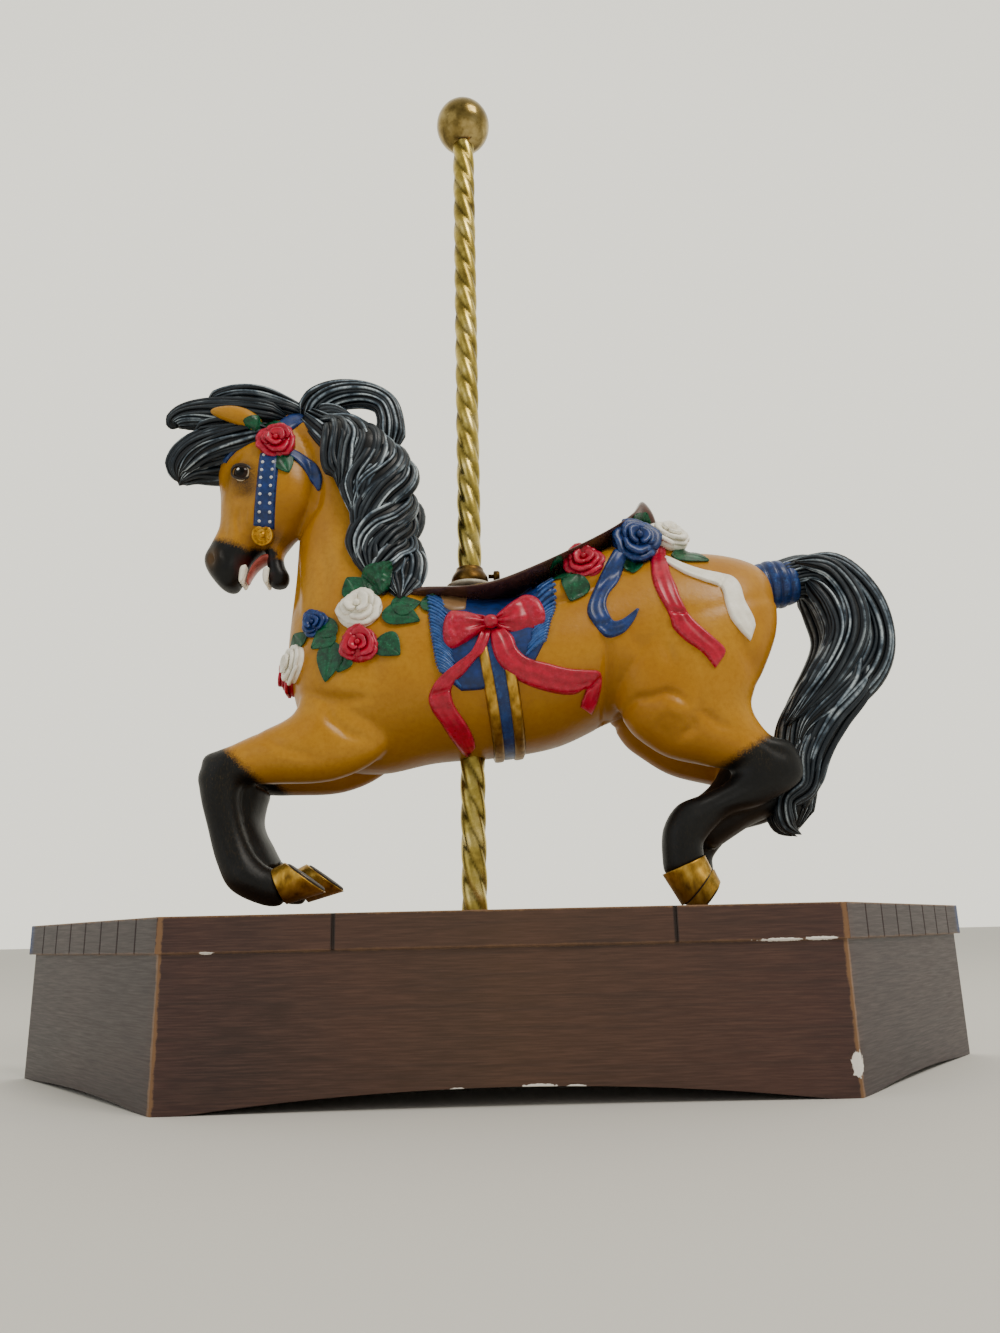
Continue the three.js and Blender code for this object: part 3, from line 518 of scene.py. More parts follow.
def platform_paint():
    """Thin dark brown stain wiped along the boards; arrises rubbed to tan, chips down to plaster."""
    new = Paint("stained_ceramic_platform_brown")
    axes = add(new.tree, "ShaderNodeSeparateXYZ", {"Vector": new.place()}).outputs
    off_centre, height = abs(Value(axes["X"])), Value(axes["Z"])
    streak = new.grain(1.0, 6, 0.6, (60, 60, 1300))
    long_streak = new.grain(1.0, 5, 0.6, (12, 12, 420))
    base = blend(new.grain(13, 4, 0.6).ramp((0.35, 0.0), (0.65, 1.0)), "#2C1715", "#3F231D")
    middle = calc("SUBTRACT", 1.0, off_centre * 7.5, clamp=True)
    base = blend(middle * 0.5, base, "#52391F")
    base = blend(streak.ramp((0.42, 0.0), (0.68, 1.0)) * 0.35, base, "#6A4A3E")
    base = blend(long_streak.ramp((0.5, 0.0), (0.66, 1.0)) * 0.3, base, "#21140D")
    base = blend(off_centre.ramp((0.1385, 0.0), (0.142, 0.65)), base, "#322E31")
    wear = new.grain(190, 5, 0.75)
    rim_foot = DECK - RIM_HEIGHT
    arrises = (
        (abs(off_centre - FRONT_HALF * MM), 3.2, 0.7),
        (calc("SUBTRACT", DECK * MM, height), 1.9, 0.75),
        (abs(height - rim_foot * MM), 1.8, 0.4),
    )
    for distance, widest, strength in arrises:
        base = blend(rubbed(distance, wear, widest, strength), base, "#8A6540")
    on_rim = height.ramp((rim_foot * MM, 0.0), ((rim_foot + 0.3) * MM, 1.0))
    base = blend(near_to(off_centre, FRONT_HALF / 2, 0.9) * on_rim, base, "#22140E")
    base = blend(off_centre.ramp((0.2424, 0.0), (0.2429, 0.9)) * on_rim, base, "#1C3B6E")
    chips, *others = [chip(new, centre, radii) for centre, radii in PLATFORM_CHIPS]
    for one in others:
        chips = calc("MAXIMUM", chips, one)
    base = blend(chips, base, "#E9E4DC")
    return new.done(streak, 0.25, 0.2, Base_Color=base, Roughness=streak.ramp((0.3, 0.58), (0.7, 0.44)))


M = {
    "coat": coat_paint(),
    "eye": eye_glaze(),
    "lid": paint("painted_ceramic_eyelid", "#0A0705", "#2A1C10", None, (0.3, 0.4)),
    "stud": paint("painted_ceramic_silver_stud", "#B9BCC0", "#E6E8EA", None, (0.2, 0.35)),
    "pole": brass("lacquered_brass_pole", "#76642C", "#BAA550", "#ECD88E", (0.24, 0.4), 0.6, 0.3),
    "ball": brass("tarnished_brass_ball", "#4C3E1C", "#8A7642", "#C0AC74", (0.12, 0.3), 0.85, 0.15),
    "collar": brass("darkened_brass_collar", "#2E200C", "#5E4520", "#9C7A40", (0.3, 0.5), 0.6, 0.3),
    "felt": paint("worn_ivory_felt", "#AFA893", "#DBD6C6", None, (0.8, 0.95)),
    "platform": platform_paint(),
    "hair": hair_paint("painted_ceramic_black_mane", 1.0),
    "forelock": hair_paint("painted_ceramic_black_forelock", 0.7),
    "tail": hair_paint("painted_ceramic_black_tail", 0.8),
    "gold": gold_paint("gold_hobby_paint", "#5A3E10", "#B48A2E", "#E6C060", 0.32),
    "bright_gold": gold_paint("bright_gold_hobby_paint", "#7A5210", "#C48E22", "#EAC056", 0.28),
    "sole": paint("bare_ceramic_hoof_sole", "#1E160C", "#32261A", None, (0.75, 0.9)),
    "red": paint("painted_ceramic_crimson", "#980022", "#C00032", "#DC4870", (0.26, 0.42)),
    "blue": paint("painted_ceramic_blue", "#08234F", "#0F347A", "#3A6CB4"),
    "strap_blue": paint("painted_ceramic_strap_blue", "#0A2658", "#143E80", "#4A74AC"),
    "pale_blue": paint("painted_ceramic_fringe_blue", "#143C78", "#2A5EA6", "#86B0E2"),
    "white": paint("painted_ceramic_ivory", "#EFEADB", "#FFFCF0", "#FFFFFF", (0.4, 0.6)),
    "green": paint("painted_ceramic_leaf_green", "#002E1A", "#005A38", "#36A070"),
    "saddle": paint("painted_ceramic_saddle_brown", "#3E2621", "#573A31", None, (0.14, 0.26)),
    "tongue": paint("painted_ceramic_tongue_red", "#8E3A33", "#B5544A", None, (0.25, 0.4)),
    "tan": paint("painted_ceramic_pad_tan", "#7A5B3A", "#8E6D48"),
}


# ---- the body of the horse ----
# a swell is centre, radii and amount; a stroke is a path in a list, width, amount and least distance out
MODELLING = [
    # shoulder and elbow
    ((-78, 36, 178), (15, 30, 14), 2.2),
    ((-86, 30, 160), (11, 30, 9), 1.2),
    ([(-88, 177), (-80, 173), (-70, 171), (-60, 172)], 2.6, -1.4),
    ([(-80, 169), (-77, 162), (-70, 156), (-60, 153)], 2.6, -1.5),
    ([(-70, 205), (-60, 190), (-56, 172)], 6.0, -1.0),
    ((-31, 38, 165), (9, 26, 14), 1.5),
    ((-104, 20, 150), (12, 16, 8), 1.0),
    ([(-112, 158), (-98, 149), (-84, 145)], 2.4, -0.8, 6),
    # flank, stifle and thigh
    ([(52, 201), (51.5, 187), (51.5, 175), (52.5, 160)], 2.6, -2.4),
    ((63, 36, 186), (9, 26, 15), 1.8),
    ((65.5, 36, 195.5), (3.5, 20, 4.5), -1.0),
    ([(79, 196), (80, 190), (81, 183)], 3.0, -1.0),
    ((92, 34, 206), (20, 26, 18), 1.4),
    ([(56, 163), (64.6, 169.8), (72, 170), (77.6, 171.8), (83, 169.6), (87, 166)], 1.9, -1.8),
    ((80, 36, 163), (8, 26, 5.5), 1.8),
    ([(90.5, 161), (89.4, 155), (84, 151)], 2.0, -1.5),
    ([(82.3, 158.4), (77, 161.2), (74, 157.5), (78, 151)], 2.0, -0.5),
    ((66, 36, 157), (9, 26, 7), 1.2),
    ([(94.4, 169), (93, 162.4), (101, 156.7), (109, 154.5)], 2.6, -1.2),
    ([(108, 200), (120, 186), (126, 174)], 4.5, -1.2),
    # tendons of the legs, and the knee
    ([(116, 152), (126, 146), (134, 142)], 2.2, -1.0, 6),
    ([(92, 118), (104, 124), (118, 131)], 2.0, -0.9, 6),
    ([(-130, 128), (-124, 112), (-118, 98)], 2.0, -0.9, 6),
    ((-129, 22, 142), (7, 10, 7), 1.0),
    ((-137, 22, 148), (4, 9, 4), 1.4),
    ((-139, 22, 138), (4, 9, 4), 0.9),
    # jowl and neck
    ((-99, 18, 285), (13, 22, 15), 1.8),
    ([(-87, 292), (-90, 277), (-101, 264)], 3.0, -2.2, 4),
    ([(-104, 258), (-101, 238), (-97, 215)], 3.2, -1.7, 6),
    ([(-88, 262), (-84, 240), (-84, 222)], 4.6, -1.3, 6),
    # eye socket, cheekbone and muzzle
    ((-127, 18, 294), (6.5, 14, 6), 1.6),
    ([(-139, 288), (-136, 301), (-126, 307)], 3.4, -1.6, 4),
    ([(-133, 284), (-127, 281.5), (-120, 284)], 2.2, -1.4, 4),
    ([(-117, 287), (-121, 275), (-124, 264)], 3.2, 1.4, 3),
    ([(-128.5, 277), (-130, 270), (-128, 263)], 1.5, -1.3, 3),
    ([(-125, 275), (-125.5, 268), (-123, 262)], 1.4, -1.1, 3),
    ([(-137, 276), (-137, 262), (-134, 255)], 3.0, -1.0, 3),
    # nostril and lip
    ((-141, 12, 251), (5.5, 10, 5.5), 1.6),
    ([(-143.5, 254.5), (-142.8, 250.5), (-141.2, 247.5)], 1.9, -3.0),
    ([(-136.5, 256), (-135, 250), (-137, 244)], 1.8, -1.0),
]


def body_clay():
    """Trunk, neck, head and legs pressed together into one skin, then modelled."""
    bm = bmesh.new()
    for stations, sides, steps in (
        (TRUNK, 56, 80), (NECK, 40, 60), (SKULL, 40, 60), (LOWER_JAW, 28, 30),
        (on_side(FORELEG, -1), 32, 90), (on_side(FORELEG, 1, FAR_FORE_SHIFT, 6), 32, 90),
        (on_side(HINDLEG, -1), 36, 90), (on_side(HINDLEG, 1, FAR_HIND_SHIFT, 2), 36, 90),
        (CROUP_RISE, 40, 40), (FORE_WEB, 20, 30), (HIND_WEB, 20, 30),
    ):
        limb(bm, stations, sides, steps)
    clay = Clay(remeshed(bm, SKIN_VOXEL))
    clay.smooth(12, 0.6)
    for form, *rest in MODELLING:
        (clay.swell if isinstance(form, tuple) else clay.stroke)(form, *rest)
    clay.smooth(1, 0.5)
    return clay


def soft_side(values, edge, blur):
    """A soft step from 0 to 1 where values pass an edge."""
    return 1 / (1 + np.exp(-(values - edge) / (0.3 * blur)))


def beyond(points, a, b):
    """Signed distance of x, z points from the line through a and b, positive on its right."""
    dx, dz = b[0] - a[0], b[1] - a[1]
    size = math.hypot(dx, dz)
    return ((points[:, 0] - a[0]) * dz - (points[:, 1] - a[1]) * dx) / size


MUZZLE_BACK, MUZZLE_FOOT = -103.3, 236
# painted patches: centre x, z, and reach in x, z
LIPS = ((-118, 254), (9, 4.5))
KNEE = ((-130, 141), (10, 12))
CANNON = ((-119, 112), (5, 14))
HOCK = ((120, 145), (14, 9))
EYE_RIM = ((-126.5, 293.0), (8.5, 7.5))
UNDER_EYE = ((-122, 284), (6, 5))
MOUTH_CORNER = ((-111, 261.5), (9, 4.5))
INNER_MOUTH = ((-121, 247), (6.5, 5.5))
NOSTRIL = ((-142.6, 251.5), (3.0, 4.4))


def paint_body(clay):
    """Masks for black points, dry-brushed shins, painted shade on the belly and wherever the skin faces down,
    mouth and nostrils, and smudged eyes.
    """
    x, y, z = clay.co.T
    flat = clay.co[:, [0, 2]]

    def patch(place):
        (cx, cz), (rx, rz) = place
        return np.exp(-(((x - cx) / rx) ** 2 + ((z - cz) / rz) ** 2))

    fore, hind = (flat - np.where((y > 0)[:, None], shift, 0) for shift in (FAR_FORE_SHIFT, FAR_HIND_SHIFT))
    fore = soft_side(-beyond(fore, (-110, 135), (-127, 151)), 0, 10) * ((x < -76) & (z < 166))
    hind = soft_side(beyond(hind, (103, 138), (131, 155)), 0, 10) * ((x > 58) & (z < 172))
    muzzle = (x < MUZZLE_BACK) & (z > MUZZLE_FOOT)
    nose = soft_side(beyond(flat, (-152, 266), (-126, 256.5)), 0, 9) * (muzzle & (z < 275))
    chin = soft_side(256 - z, 3.5, 5) * (muzzle & (x > -121) & (z < 256))
    dry = patch(KNEE) + patch(CANNON) + patch(HOCK)
    dry += 0.3 * (z < np.where(x < -20, 140, 118)) * (np.abs(y) > 8)
    smudge = (1.1 * patch(EYE_RIM) + 0.55 * patch(UNDER_EYE)) * (np.abs(y) > 6)
    facing_up = clay.normals()[:, 2]
    inside = (x > -131) & (x < -110) & (z < 254) & (z > 240) & (facing_up < -0.1)
    masks = {
        "point": np.maximum.reduce([fore, hind, nose, patch(LIPS) * 1.1, chin]),
        "dry": dry,
        "smudge": np.maximum(smudge, 0.75 * patch(MOUTH_CORNER)),
        # painted shade: strongest where the skin faces straight down, as under the belly and the jaw
        "under": np.clip(-facing_up * 0.8 - 0.15, 0, 0.8),
        "mouth": patch(INNER_MOUTH) * inside,
        "nostril": patch(NOSTRIL) * (np.abs(y) > 3),
    }
    return {name: np.clip(values, 0, 1) for name, values in masks.items()}


def horse_body():
    """The painted body, in one skin."""
    clay = body_clay()
    masks = paint_body(clay)
    clay.write()
    for name, values in masks.items():
        layer = clay.mesh.attributes.new(name, "FLOAT", "POINT")
        layer.data.foreach_set("value", values.astype(np.float32))
    bm = bmesh.new()
    bm.from_mesh(clay.mesh)
    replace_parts(new_piece("horse_body", bm, "coat"), "horse")


class Skin:
    """Finds places on finished pieces, in millimetres."""

    def __init__(self, *names):
        points, faces = [], []
        for name in names:
            mesh = bpy.data.objects[name].data
            first = len(points)
            points += [v.co / MM for v in mesh.vertices]
            faces += [[first + i for i in p.vertices] for p in mesh.polygons]
        self.tree = BVHTree.FromPolygons(points, faces)

    def at(self, x, z, side=-1):
        """The point and outward normal seen from the given side."""
        hit, normal, _, _ = self.tree.ray_cast(Vector((x, side * 120, z)), Vector((0, -side, 0)))
        if hit is None or hit.y * side < 0:
            hit, normal, _, _ = self.tree.find_nearest(Vector((x, side * 14, z)))
            hit = Vector((x, hit.y, z))
        return hit, normal

    def y(self, x, z, side=-1):
        """How far out the skin lies in Y."""
        return self.at(x, z, side)[0].y

    def front(self, y, z):
        """The point and outward normal seen from ahead of the horse."""
        return self.tree.ray_cast(Vector((-300, y, z)), Vector((1, 0, 0)))[:2]

    def around(self, x, z0, angle):
        """The point straight out from the body's axis at an angle from the near side, going down."""
        axis, out = Vector((x, 0, z0)), Vector((0, -math.cos(angle), -math.sin(angle)))
        return self.tree.ray_cast(axis + out * 120, -out)[0] or axis + out * 40


# ---- closed bodies from rings of points ----
def number_layer(bm, name):
    """The numbers on a piece's points that its material reads under a name."""
    layers = bm.verts.layers.float
    return layers.get(name) or layers.new(name)


def tube(bm, rings, **tables):
    """A closed body through rings of points; each table gives a named number for every ring's points."""
    layers = {number_layer(bm, name): table for name, table in tables.items()}
    made = [[bm.verts.new(p) for p in ring] for ring in rings]
    for layer, table in layers.items():
        for ring, values in zip(made, table):
            for v, value in zip(ring, values):
                v[layer] = value
    n = len(made[0])
    for a, b in zip(made, made[1:]):
        for i in range(n):
            bm.faces.new((a[i], a[(i + 1) % n], b[(i + 1) % n], b[i]))
    for ring in (made[0], made[-1]):
        pole = bm.verts.new(sum((v.co for v in ring), Vector()) / n)
        for layer in layers:
            pole[layer] = sum(v[layer] for v in ring) / n
        for i in range(n):
            bm.faces.new((ring[i], ring[(i + 1) % n], pole))


def bar(bm, rows, **tables):
    """A closed bar from rows of top point, lower point and crest value."""
    rings = [[top for top, _, _ in row] + [low for _, low, _ in row[-2:0:-1]] for row in rows]
    crest = [[value for _, _, value in row] + [0.0] * (len(row) - 2) for row in rows]
    tube(bm, rings, crest=crest, **tables)


def across_band(count):
    """Places from -1 at one edge of a band to 1 at the other."""
    return [2 * k / count - 1 for k in range(count + 1)]


def lathe(bm, profile, centre, segments, turn=None):
    """Spins a radius, height profile about +Z, or about the axis given by a rotation."""
    centre = Vector(centre)
    rings = [[Vector((r * math.cos(a), r * math.sin(a), h)) for a in turns(segments)] for r, h in profile]
    tube(bm, [[centre + (turn @ p if turn else p) for p in ring] for ring in rings])


def bead(bm, centre, radius, squash=(1, 1, 1), *, u, v):
    """A ball with u sides and v rows, squashed along each axis."""
    made = bmesh.ops.create_uvsphere(bm, u_segments=u, v_segments=v, radius=radius)["verts"]
    for vert in made:
        vert.co = Vector([c * s for c, s in zip(vert.co, squash)]) + Vector(centre)
    return made


def frame_on(normal, spin=0.0):
    """A turn that stands +Z along a normal."""
    return Vector(normal).to_track_quat("Z", "Y").to_matrix() @ Matrix.Rotation(spin, 3, "Z")


# ---- hair ----
CORE_SIDES, CORE_SIZE, CORE_CREST = 18, 0.86, 0.1
STRAND_SIDES, STRAND_WIDE, STRAND_HIGH = 6, 1.1, 1.25


def carved_lock(bm, stations, strands, steps, twist, seed, ends, strand_size=1.0):
    """One lock of hair: a soft core wound with rounded strands that run to its tip.

    Stations hold x, y, z, half height and half depth; ends are the shares over which it tapers.
    """
    rnd = random.Random(seed)
    spine = []
    for t in shares(steps):
        x, y, z, up, side = along(stations, t)
        ahead, back = along(stations, min(t + 0.02, 1)), along(stations, max(t - 0.02, 0))
        forward = (Vector(ahead[:3]) - Vector(back[:3])).normalized()
        across = (Vector((0, 1, 0)) - forward * forward.y).normalized()
        lift = forward.cross(across)
        root = (t / ends[0]) ** 0.6 if t < ends[0] else 1
        tip = ((1 - t) / ends[1]) ** 0.75 if 1 - t < ends[1] else 1
        taper = max(min(root, tip), 0.05)
        spine.append((Vector((x, y, z)), lift * up * taper, across * side * taper))
    core = [[c + l * CORE_SIZE * math.cos(a) + s * CORE_SIZE * math.sin(a) for a in turns(CORE_SIDES)]
            for c, l, s in spine]
    plain = [[CORE_CREST] * CORE_SIDES for _ in core]
    tube(bm, core, crest=plain, strand=plain)
    for j in range(strands):
        tone, phase, wave = rnd.random(), rnd.random() * 6.28, rnd.uniform(0.05, 0.16)
        start_angle = 2 * math.pi * (j + rnd.uniform(-0.22, 0.22)) / strands
        width = math.pi / strands * rnd.uniform(0.85, 1.3) * strand_size
        rise = rnd.uniform(-0.05, 0.07)
        t0, t1 = rnd.uniform(0, 0.05), rnd.uniform(0.9, 1.0)
        rings = []
        for t, (c, l, s) in zip(shares(steps), spine):
            if not t0 <= t <= t1:
                continue
            a = start_angle + twist * 2 * math.pi * t + wave * math.sin(6 * t + phase)
            out = l * math.cos(a) + s * math.sin(a)
            mid = c + out * (CORE_SIZE + rise)
            half = max(out.length, 0.25) * width * min(1, 0.35 + 6 * (t - t0), 0.25 + 5 * (t1 - t))
            normal = out.normalized()
            sideways = (-l * math.sin(a) + s * math.cos(a)).normalized()
            rings.append([mid + sideways * half * STRAND_WIDE * math.sin(b)
                          + normal * half * STRAND_HIGH * math.cos(b) for b in turns(STRAND_SIDES)])
        lit = [[0.5 + 0.5 * math.cos(b) for b in turns(STRAND_SIDES)]] * len(rings)
        tube(bm, rings, crest=lit, strand=[[tone] * STRAND_SIDES] * len(rings))


MANE_MASS = [
    (-98, -3, 332, 7, 9), (-86, -7, 320, 12, 11), (-72, -9, 304, 15, 13), (-64, -10, 284, 16, 14),
    (-60, -11, 264, 14, 14), (-54, -12, 246, 12, 15), (-48, -12, 233, 8, 13),
]
MANE_FLOWS = [
    [(-94, 326), (-85, 321), (-81, 313), (-81, 299), (-79, 291), (-79, 285)],
    [(-88, 326), (-78, 321), (-73, 311), (-75, 302), (-77, 290), (-79, 282)],
    [(-81, 323), (-70, 316), (-65, 309), (-66, 300), (-70, 290), (-72, 280)],
    [(-73, 317), (-60, 311), (-57, 303), (-60, 295), (-67, 285), (-68, 273), (-67, 262)],
    [(-64, 313), (-54, 306), (-51, 298), (-56, 290), (-63, 283), (-68, 273), (-69, 262)],
    [(-56, 307), (-47, 297), (-47, 288), (-55, 280), (-62, 271), (-66, 262), (-67, 250)],
    [(-50, 289), (-46, 279), (-50, 270), (-59, 263), (-64, 255), (-65, 245), (-62, 236)],
    [(-48, 276), (-46, 265), (-53, 257), (-60, 250), (-61, 241), (-58, 230)],
    [(-47, 263), (-44, 252), (-49, 244), (-54, 236), (-54, 224)],
    [(-45, 253), (-42, 242), (-45, 232), (-46, 221)],
]
MANE_LOOP = [
    (-100, -3, 331, 5, 6), (-94, -4, 339.5, 7.5, 7), (-82, -5, 344.5, 7.2, 7), (-67, -6, 344, 6.3, 6.5),
    (-56.5, -7, 338, 6, 6), (-53, -8, 327, 6.2, 7), (-54, -9, 315, 7.5, 8), (-58, -10, 302, 8, 8),
]
UNDER_LOOP = [
    (-92, -5, 333, 5, 6), (-83, -6, 331.5, 5, 6), (-75, -7, 325.5, 5, 6), (-67, -8, 319, 6, 7),
    (-60, -9, 310, 7, 7),
]


def mane(skin):
    """Ten wavy locks over a core on the dressed side, a loop blown up off the crest, and a plainer back."""
    bm = bmesh.new()
    carved_lock(bm, MANE_MASS, strands=30, steps=40, twist=0.1, seed=3, ends=(0.05, 0.2), strand_size=0.9)
    for k, flow in enumerate(MANE_FLOWS):
        stations = []
        for i, (x, z) in enumerate(flow):
            t = i / (len(flow) - 1)
            depth = -6 - 17 * smoothstep(0, 0.45, t)
            y = min(depth, skin.y(x, z) - 1.5) if t > 0.5 else depth
            wide = 7.2 * (0.75 + 0.5 * math.sin(math.pi * t))
            stations.append((x + max(0, 3 - k), max(y, -30), z, wide, 6.0))
        twist = 0.16 if k % 2 else -0.12
        carved_lock(bm, stations, strands=17, steps=46, twist=twist, seed=20 + k, ends=(0.1, 0.28))
        if k % 2 == 0:
            back = [(x + 1, 9 - 1.5 * i, z, 7.5, 4.5) for i, (x, _, z, _, _) in enumerate(stations[:-1])]
            carved_lock(bm, back, strands=10, steps=26, twist=0.1, seed=60 + k, ends=(0.1, 0.4))
    carved_lock(bm, MANE_LOOP, strands=18, steps=60, twist=0.25, seed=5, ends=(0.08, 0.2))
    carved_lock(bm, UNDER_LOOP, strands=12, steps=34, twist=0.3, seed=6, ends=(0.08, 0.3))
    new_piece("mane", bm, "hair")


# how many strands each lock has, and its stations
FORELOCKS = [
    (24, [(-99, 0, 334, 4, 8), (-110, -3, 337.5, 6, 10), (-122, -5, 341, 7.5, 10), (-134, -6, 342.5, 7, 8),
          (-145, -6, 341, 5.5, 6), (-150, -6, 337.5, 4, 4)]),
    (28, [(-106, -4, 330, 6, 11), (-122, -6, 331.5, 9, 12), (-138, -7, 332.5, 9.5, 10), (-152, -7, 333, 8, 8),
          (-162, -7, 331.5, 6.5, 6), (-167, -7, 328, 4.5, 4), (-164.5, -7, 325.5, 3, 3)]),
    (28, [(-112, -6, 319, 8, 12), (-126, -7, 317, 10.5, 11), (-140, -8, 315, 10.5, 9), (-151, -8, 312, 10, 8),
          (-159, -8, 307, 9, 6), (-163, -8, 300, 6.5, 4.5), (-162, -8, 294, 3.5, 3)]),
    (18, [(-118, -7, 324, 6, 9), (-132, -8, 325, 7, 8), (-146, -8, 323.5, 6.5, 6), (-156, -8, 320.5, 4, 4)]),
    (18, [(-124, 3, 307, 6, 7), (-136, 2, 305, 7.5, 7), (-147, 0, 304, 7, 7), (-155, -3, 301.5, 5.5, 6),
          (-160.5, -5, 297, 3.5, 4), (-162, -6, 293, 2, 2.5)]),
]


def forelock():
    """Five locks blown forward past the ears."""
    bm = bmesh.new()
    for k, (strands, stations) in enumerate(FORELOCKS):
        twist = 0.12 * (-1) ** k
        carved_lock(bm, stations, strands, steps=40, twist=twist, seed=80 + k, ends=(0.1, 0.2))
    new_piece("forelock", bm, "forelock")


TAIL_LINE = [
    (138, 0, 236, 9, 9), (148, 0, 238, 11, 11), (163, 0, 239, 12, 12), (175, 0, 227, 14, 14),
    (180, 0, 207, 15, 14), (174, 0, 188, 16, 14), (163, 0, 173, 15.5, 13), (152, 0, 158, 14, 12),
    (147, 0, 144, 11.5, 11), (145, 0, 131, 10, 9), (143, 0, 120, 9.5, 7), (141, 0, 109, 8, 5),
]
TAIL_LOCKS = [
    [(152, -9, 245, 4, 5), (168, -11, 240, 6, 6), (177, -12, 225, 7, 6), (177, -13, 208, 8, 6),
     (168, -13, 192, 8, 6), (152, -12, 173, 7, 6), (141, -10, 160, 4, 4)],
    [(158, -8, 236, 4, 5), (167, -11, 222, 6, 6), (170, -12, 206, 6, 6), (162, -12, 188, 6, 6),
     (149, -11, 172, 5, 5), (139, -9, 160, 3, 3)],
    [(154, -4, 248, 4, 6), (174, -5, 243, 6, 8), (187, -7, 226, 7, 8), (191, -8, 205, 7, 8),
     (184, -9, 188, 8, 7), (167, -10, 173, 8, 6), (150, -10, 160, 6, 5), (144, -8, 146, 3, 3)],
    [(181, -6, 200, 6, 7), (177, -8, 181, 8, 8), (163, -9, 163, 8, 7), (154, -9, 147, 7, 6),
     (149.5, -8, 132, 6, 5), (146, -7, 119, 4, 4)],
    [(158, -8, 158, 6, 6), (150, -9, 144, 7, 6), (146, -9, 131, 6, 6), (137, -8, 124, 5, 5),
     (137, -7, 113, 5, 5), (144, -5, 108, 3, 3)],
]


def tail():
    """A full tail that arches out of its wrap and curls under, its tips parted in two."""
    bm = bmesh.new()
    carved_lock(bm, TAIL_LINE, strands=38, steps=70, twist=0.2, seed=9, ends=(0.05, 0.1))
    for k, path in enumerate(TAIL_LOCKS):
        twist = 0.14 * (-1) ** k
        carved_lock(bm, path, strands=16, steps=46, twist=twist, seed=100 + k, ends=(0.1, 0.25))
        mirrored = [(x + 1, -y, z, up * 0.9, side) for x, y, z, up, side in path]
        carved_lock(bm, mirrored, strands=10, steps=30, twist=-0.1, seed=120 + k, ends=(0.1, 0.35))
    new_piece("tail", bm, "tail")


# ---- cast trimmings laid on the skin ----
def edges_of(path, halves, steps):
    """Turns a middle line of x, z points and half widths into the two edges of a band."""
    rows = [tuple(p) + (h,) for p, h in zip(path, halves)]
    out = []
    for t in shares(steps):
        x, z, half = along(rows, t)
        ahead, back = along(rows, min(t + 0.03, 1)), along(rows, max(t - 0.03, 0))
        run = Vector((ahead[0] - back[0], ahead[1] - back[1])).normalized() * half
        out.append((x + run.y, z - run.x, x - run.y, z + run.x))
    return out


ROUNDED_EDGE = 1.14  # a band is cut this much wider, because its rounded edges look narrower
FOLD_WIDTH = 0.022  # in shares of a band's length


def draped_band(bm, skin, edges, proud, side, steps, across, folds=(), hollow=0.25, sharp=8, ridges=0.0):
    """A ribbon or strap between two edges of x, z points: a low bar that follows the skin.

    Proud is how far it stands out, hollow how much its middle sinks, sharp how square its edges are, and
    each fold is a place along it and how far it sinks there.
    """
    raw = []
    for t in shares(steps):
        ax, az, bx, bz = along(edges, t)
        reaches = [(s, 0.5 + 0.5 * s * ROUNDED_EDGE) for s in across_band(across)]
        raw.append([(ax + (bx - ax) * reach, az + (bz - az) * reach, s) for s, reach in reaches])
    deep = np.array([[side * skin.y(x, z, side) for x, z, _ in row] for row in raw])
    for _ in range(3):
        deep[1:-1] = (deep[:-2] + 2 * deep[1:-1] + deep[2:]) / 4
    rows = []
    for t, line, depths in zip(shares(steps), raw, deep):
        row = []
        for (x, z, s), depth in zip(line, depths):
            lift = proud * (1 - abs(s) ** sharp) ** 0.5 * (1 - hollow * (1 - s * s))
            lift *= 1 + ridges * math.sin(7 * s + 3 * t) * (1 - s * s)
            for place, sink in folds:
                lift -= proud * sink * math.exp(-(((t - place - 0.02 * s) / FOLD_WIDTH) ** 2))
            lift *= min(1, 0.45 + 14 * t, 0.45 + 14 * (1 - t))
            row.append((Vector((x, side * (depth + max(lift, THINNEST)), z)),
                        Vector((x, side * (depth - UNDERLAP), z)), 0.15 + 0.85 * abs(s) ** 4))
        rows.append(row)
    bar(bm, rows)


# radius and height, in shares of the rose's radius
ROSE_BASE = [(0.92, 0.0), (0.8, 0.16), (0.45, 0.3), (0.15, 0.34)]
# petals in a round, half angle, radii at the foot and the lip, heights at the foot and the lip, curl
ROSE_ROUNDS = [
    (4, 0.92, 0.3, 1.0, 0.08, 0.32, 0.1),
    (3, 1.1, 0.24, 0.8, 0.24, 0.52, 0.08),
    (2, 1.5, 0.08, 0.5, 0.4, 0.66, 0.04),
]
PETAL_THICKNESS = 0.13
PETAL_COLUMNS, PETAL_ROWS = 9, 6


def petal(bm, place, turn, angle, span, r_in, r_out, h_in, h_lip, curl, thick):
    """One rolled rose petal as a closed shell; place and turn stand it on the skin."""
    rings, lit = [], []
    for u in across_band(PETAL_COLUMNS):
        a = angle + span * u
        ruffle = 0.24 * u ** 4 + 0.08 * math.cos(4.2 * u + 3 * angle) + 0.04 * math.cos(9 * u + angle)
        outer, inner, glow = [], [], []
        for v in shares(PETAL_ROWS):
            reach = r_in + (r_out - r_in) * v * (1 - ruffle)
            height = h_in + (h_lip - h_in) * math.sin(v * math.pi / 2)
            height = height - curl * max(v - 0.72, 0) ** 2 * 9 - 0.08 * r_out * u * u
            p = Vector((reach * math.cos(a), reach * math.sin(a), height))
            outer.append(place + turn @ p)
            inner.append(place + turn @ (p + Vector((0, 0, -thick))))
            glow.append(max(0, (v - 0.55) / 0.45))
        rings.append(outer + inner[::-1])
        lit.append(glow + [0.0] * len(inner))
    tube(bm, rings, crest=lit)


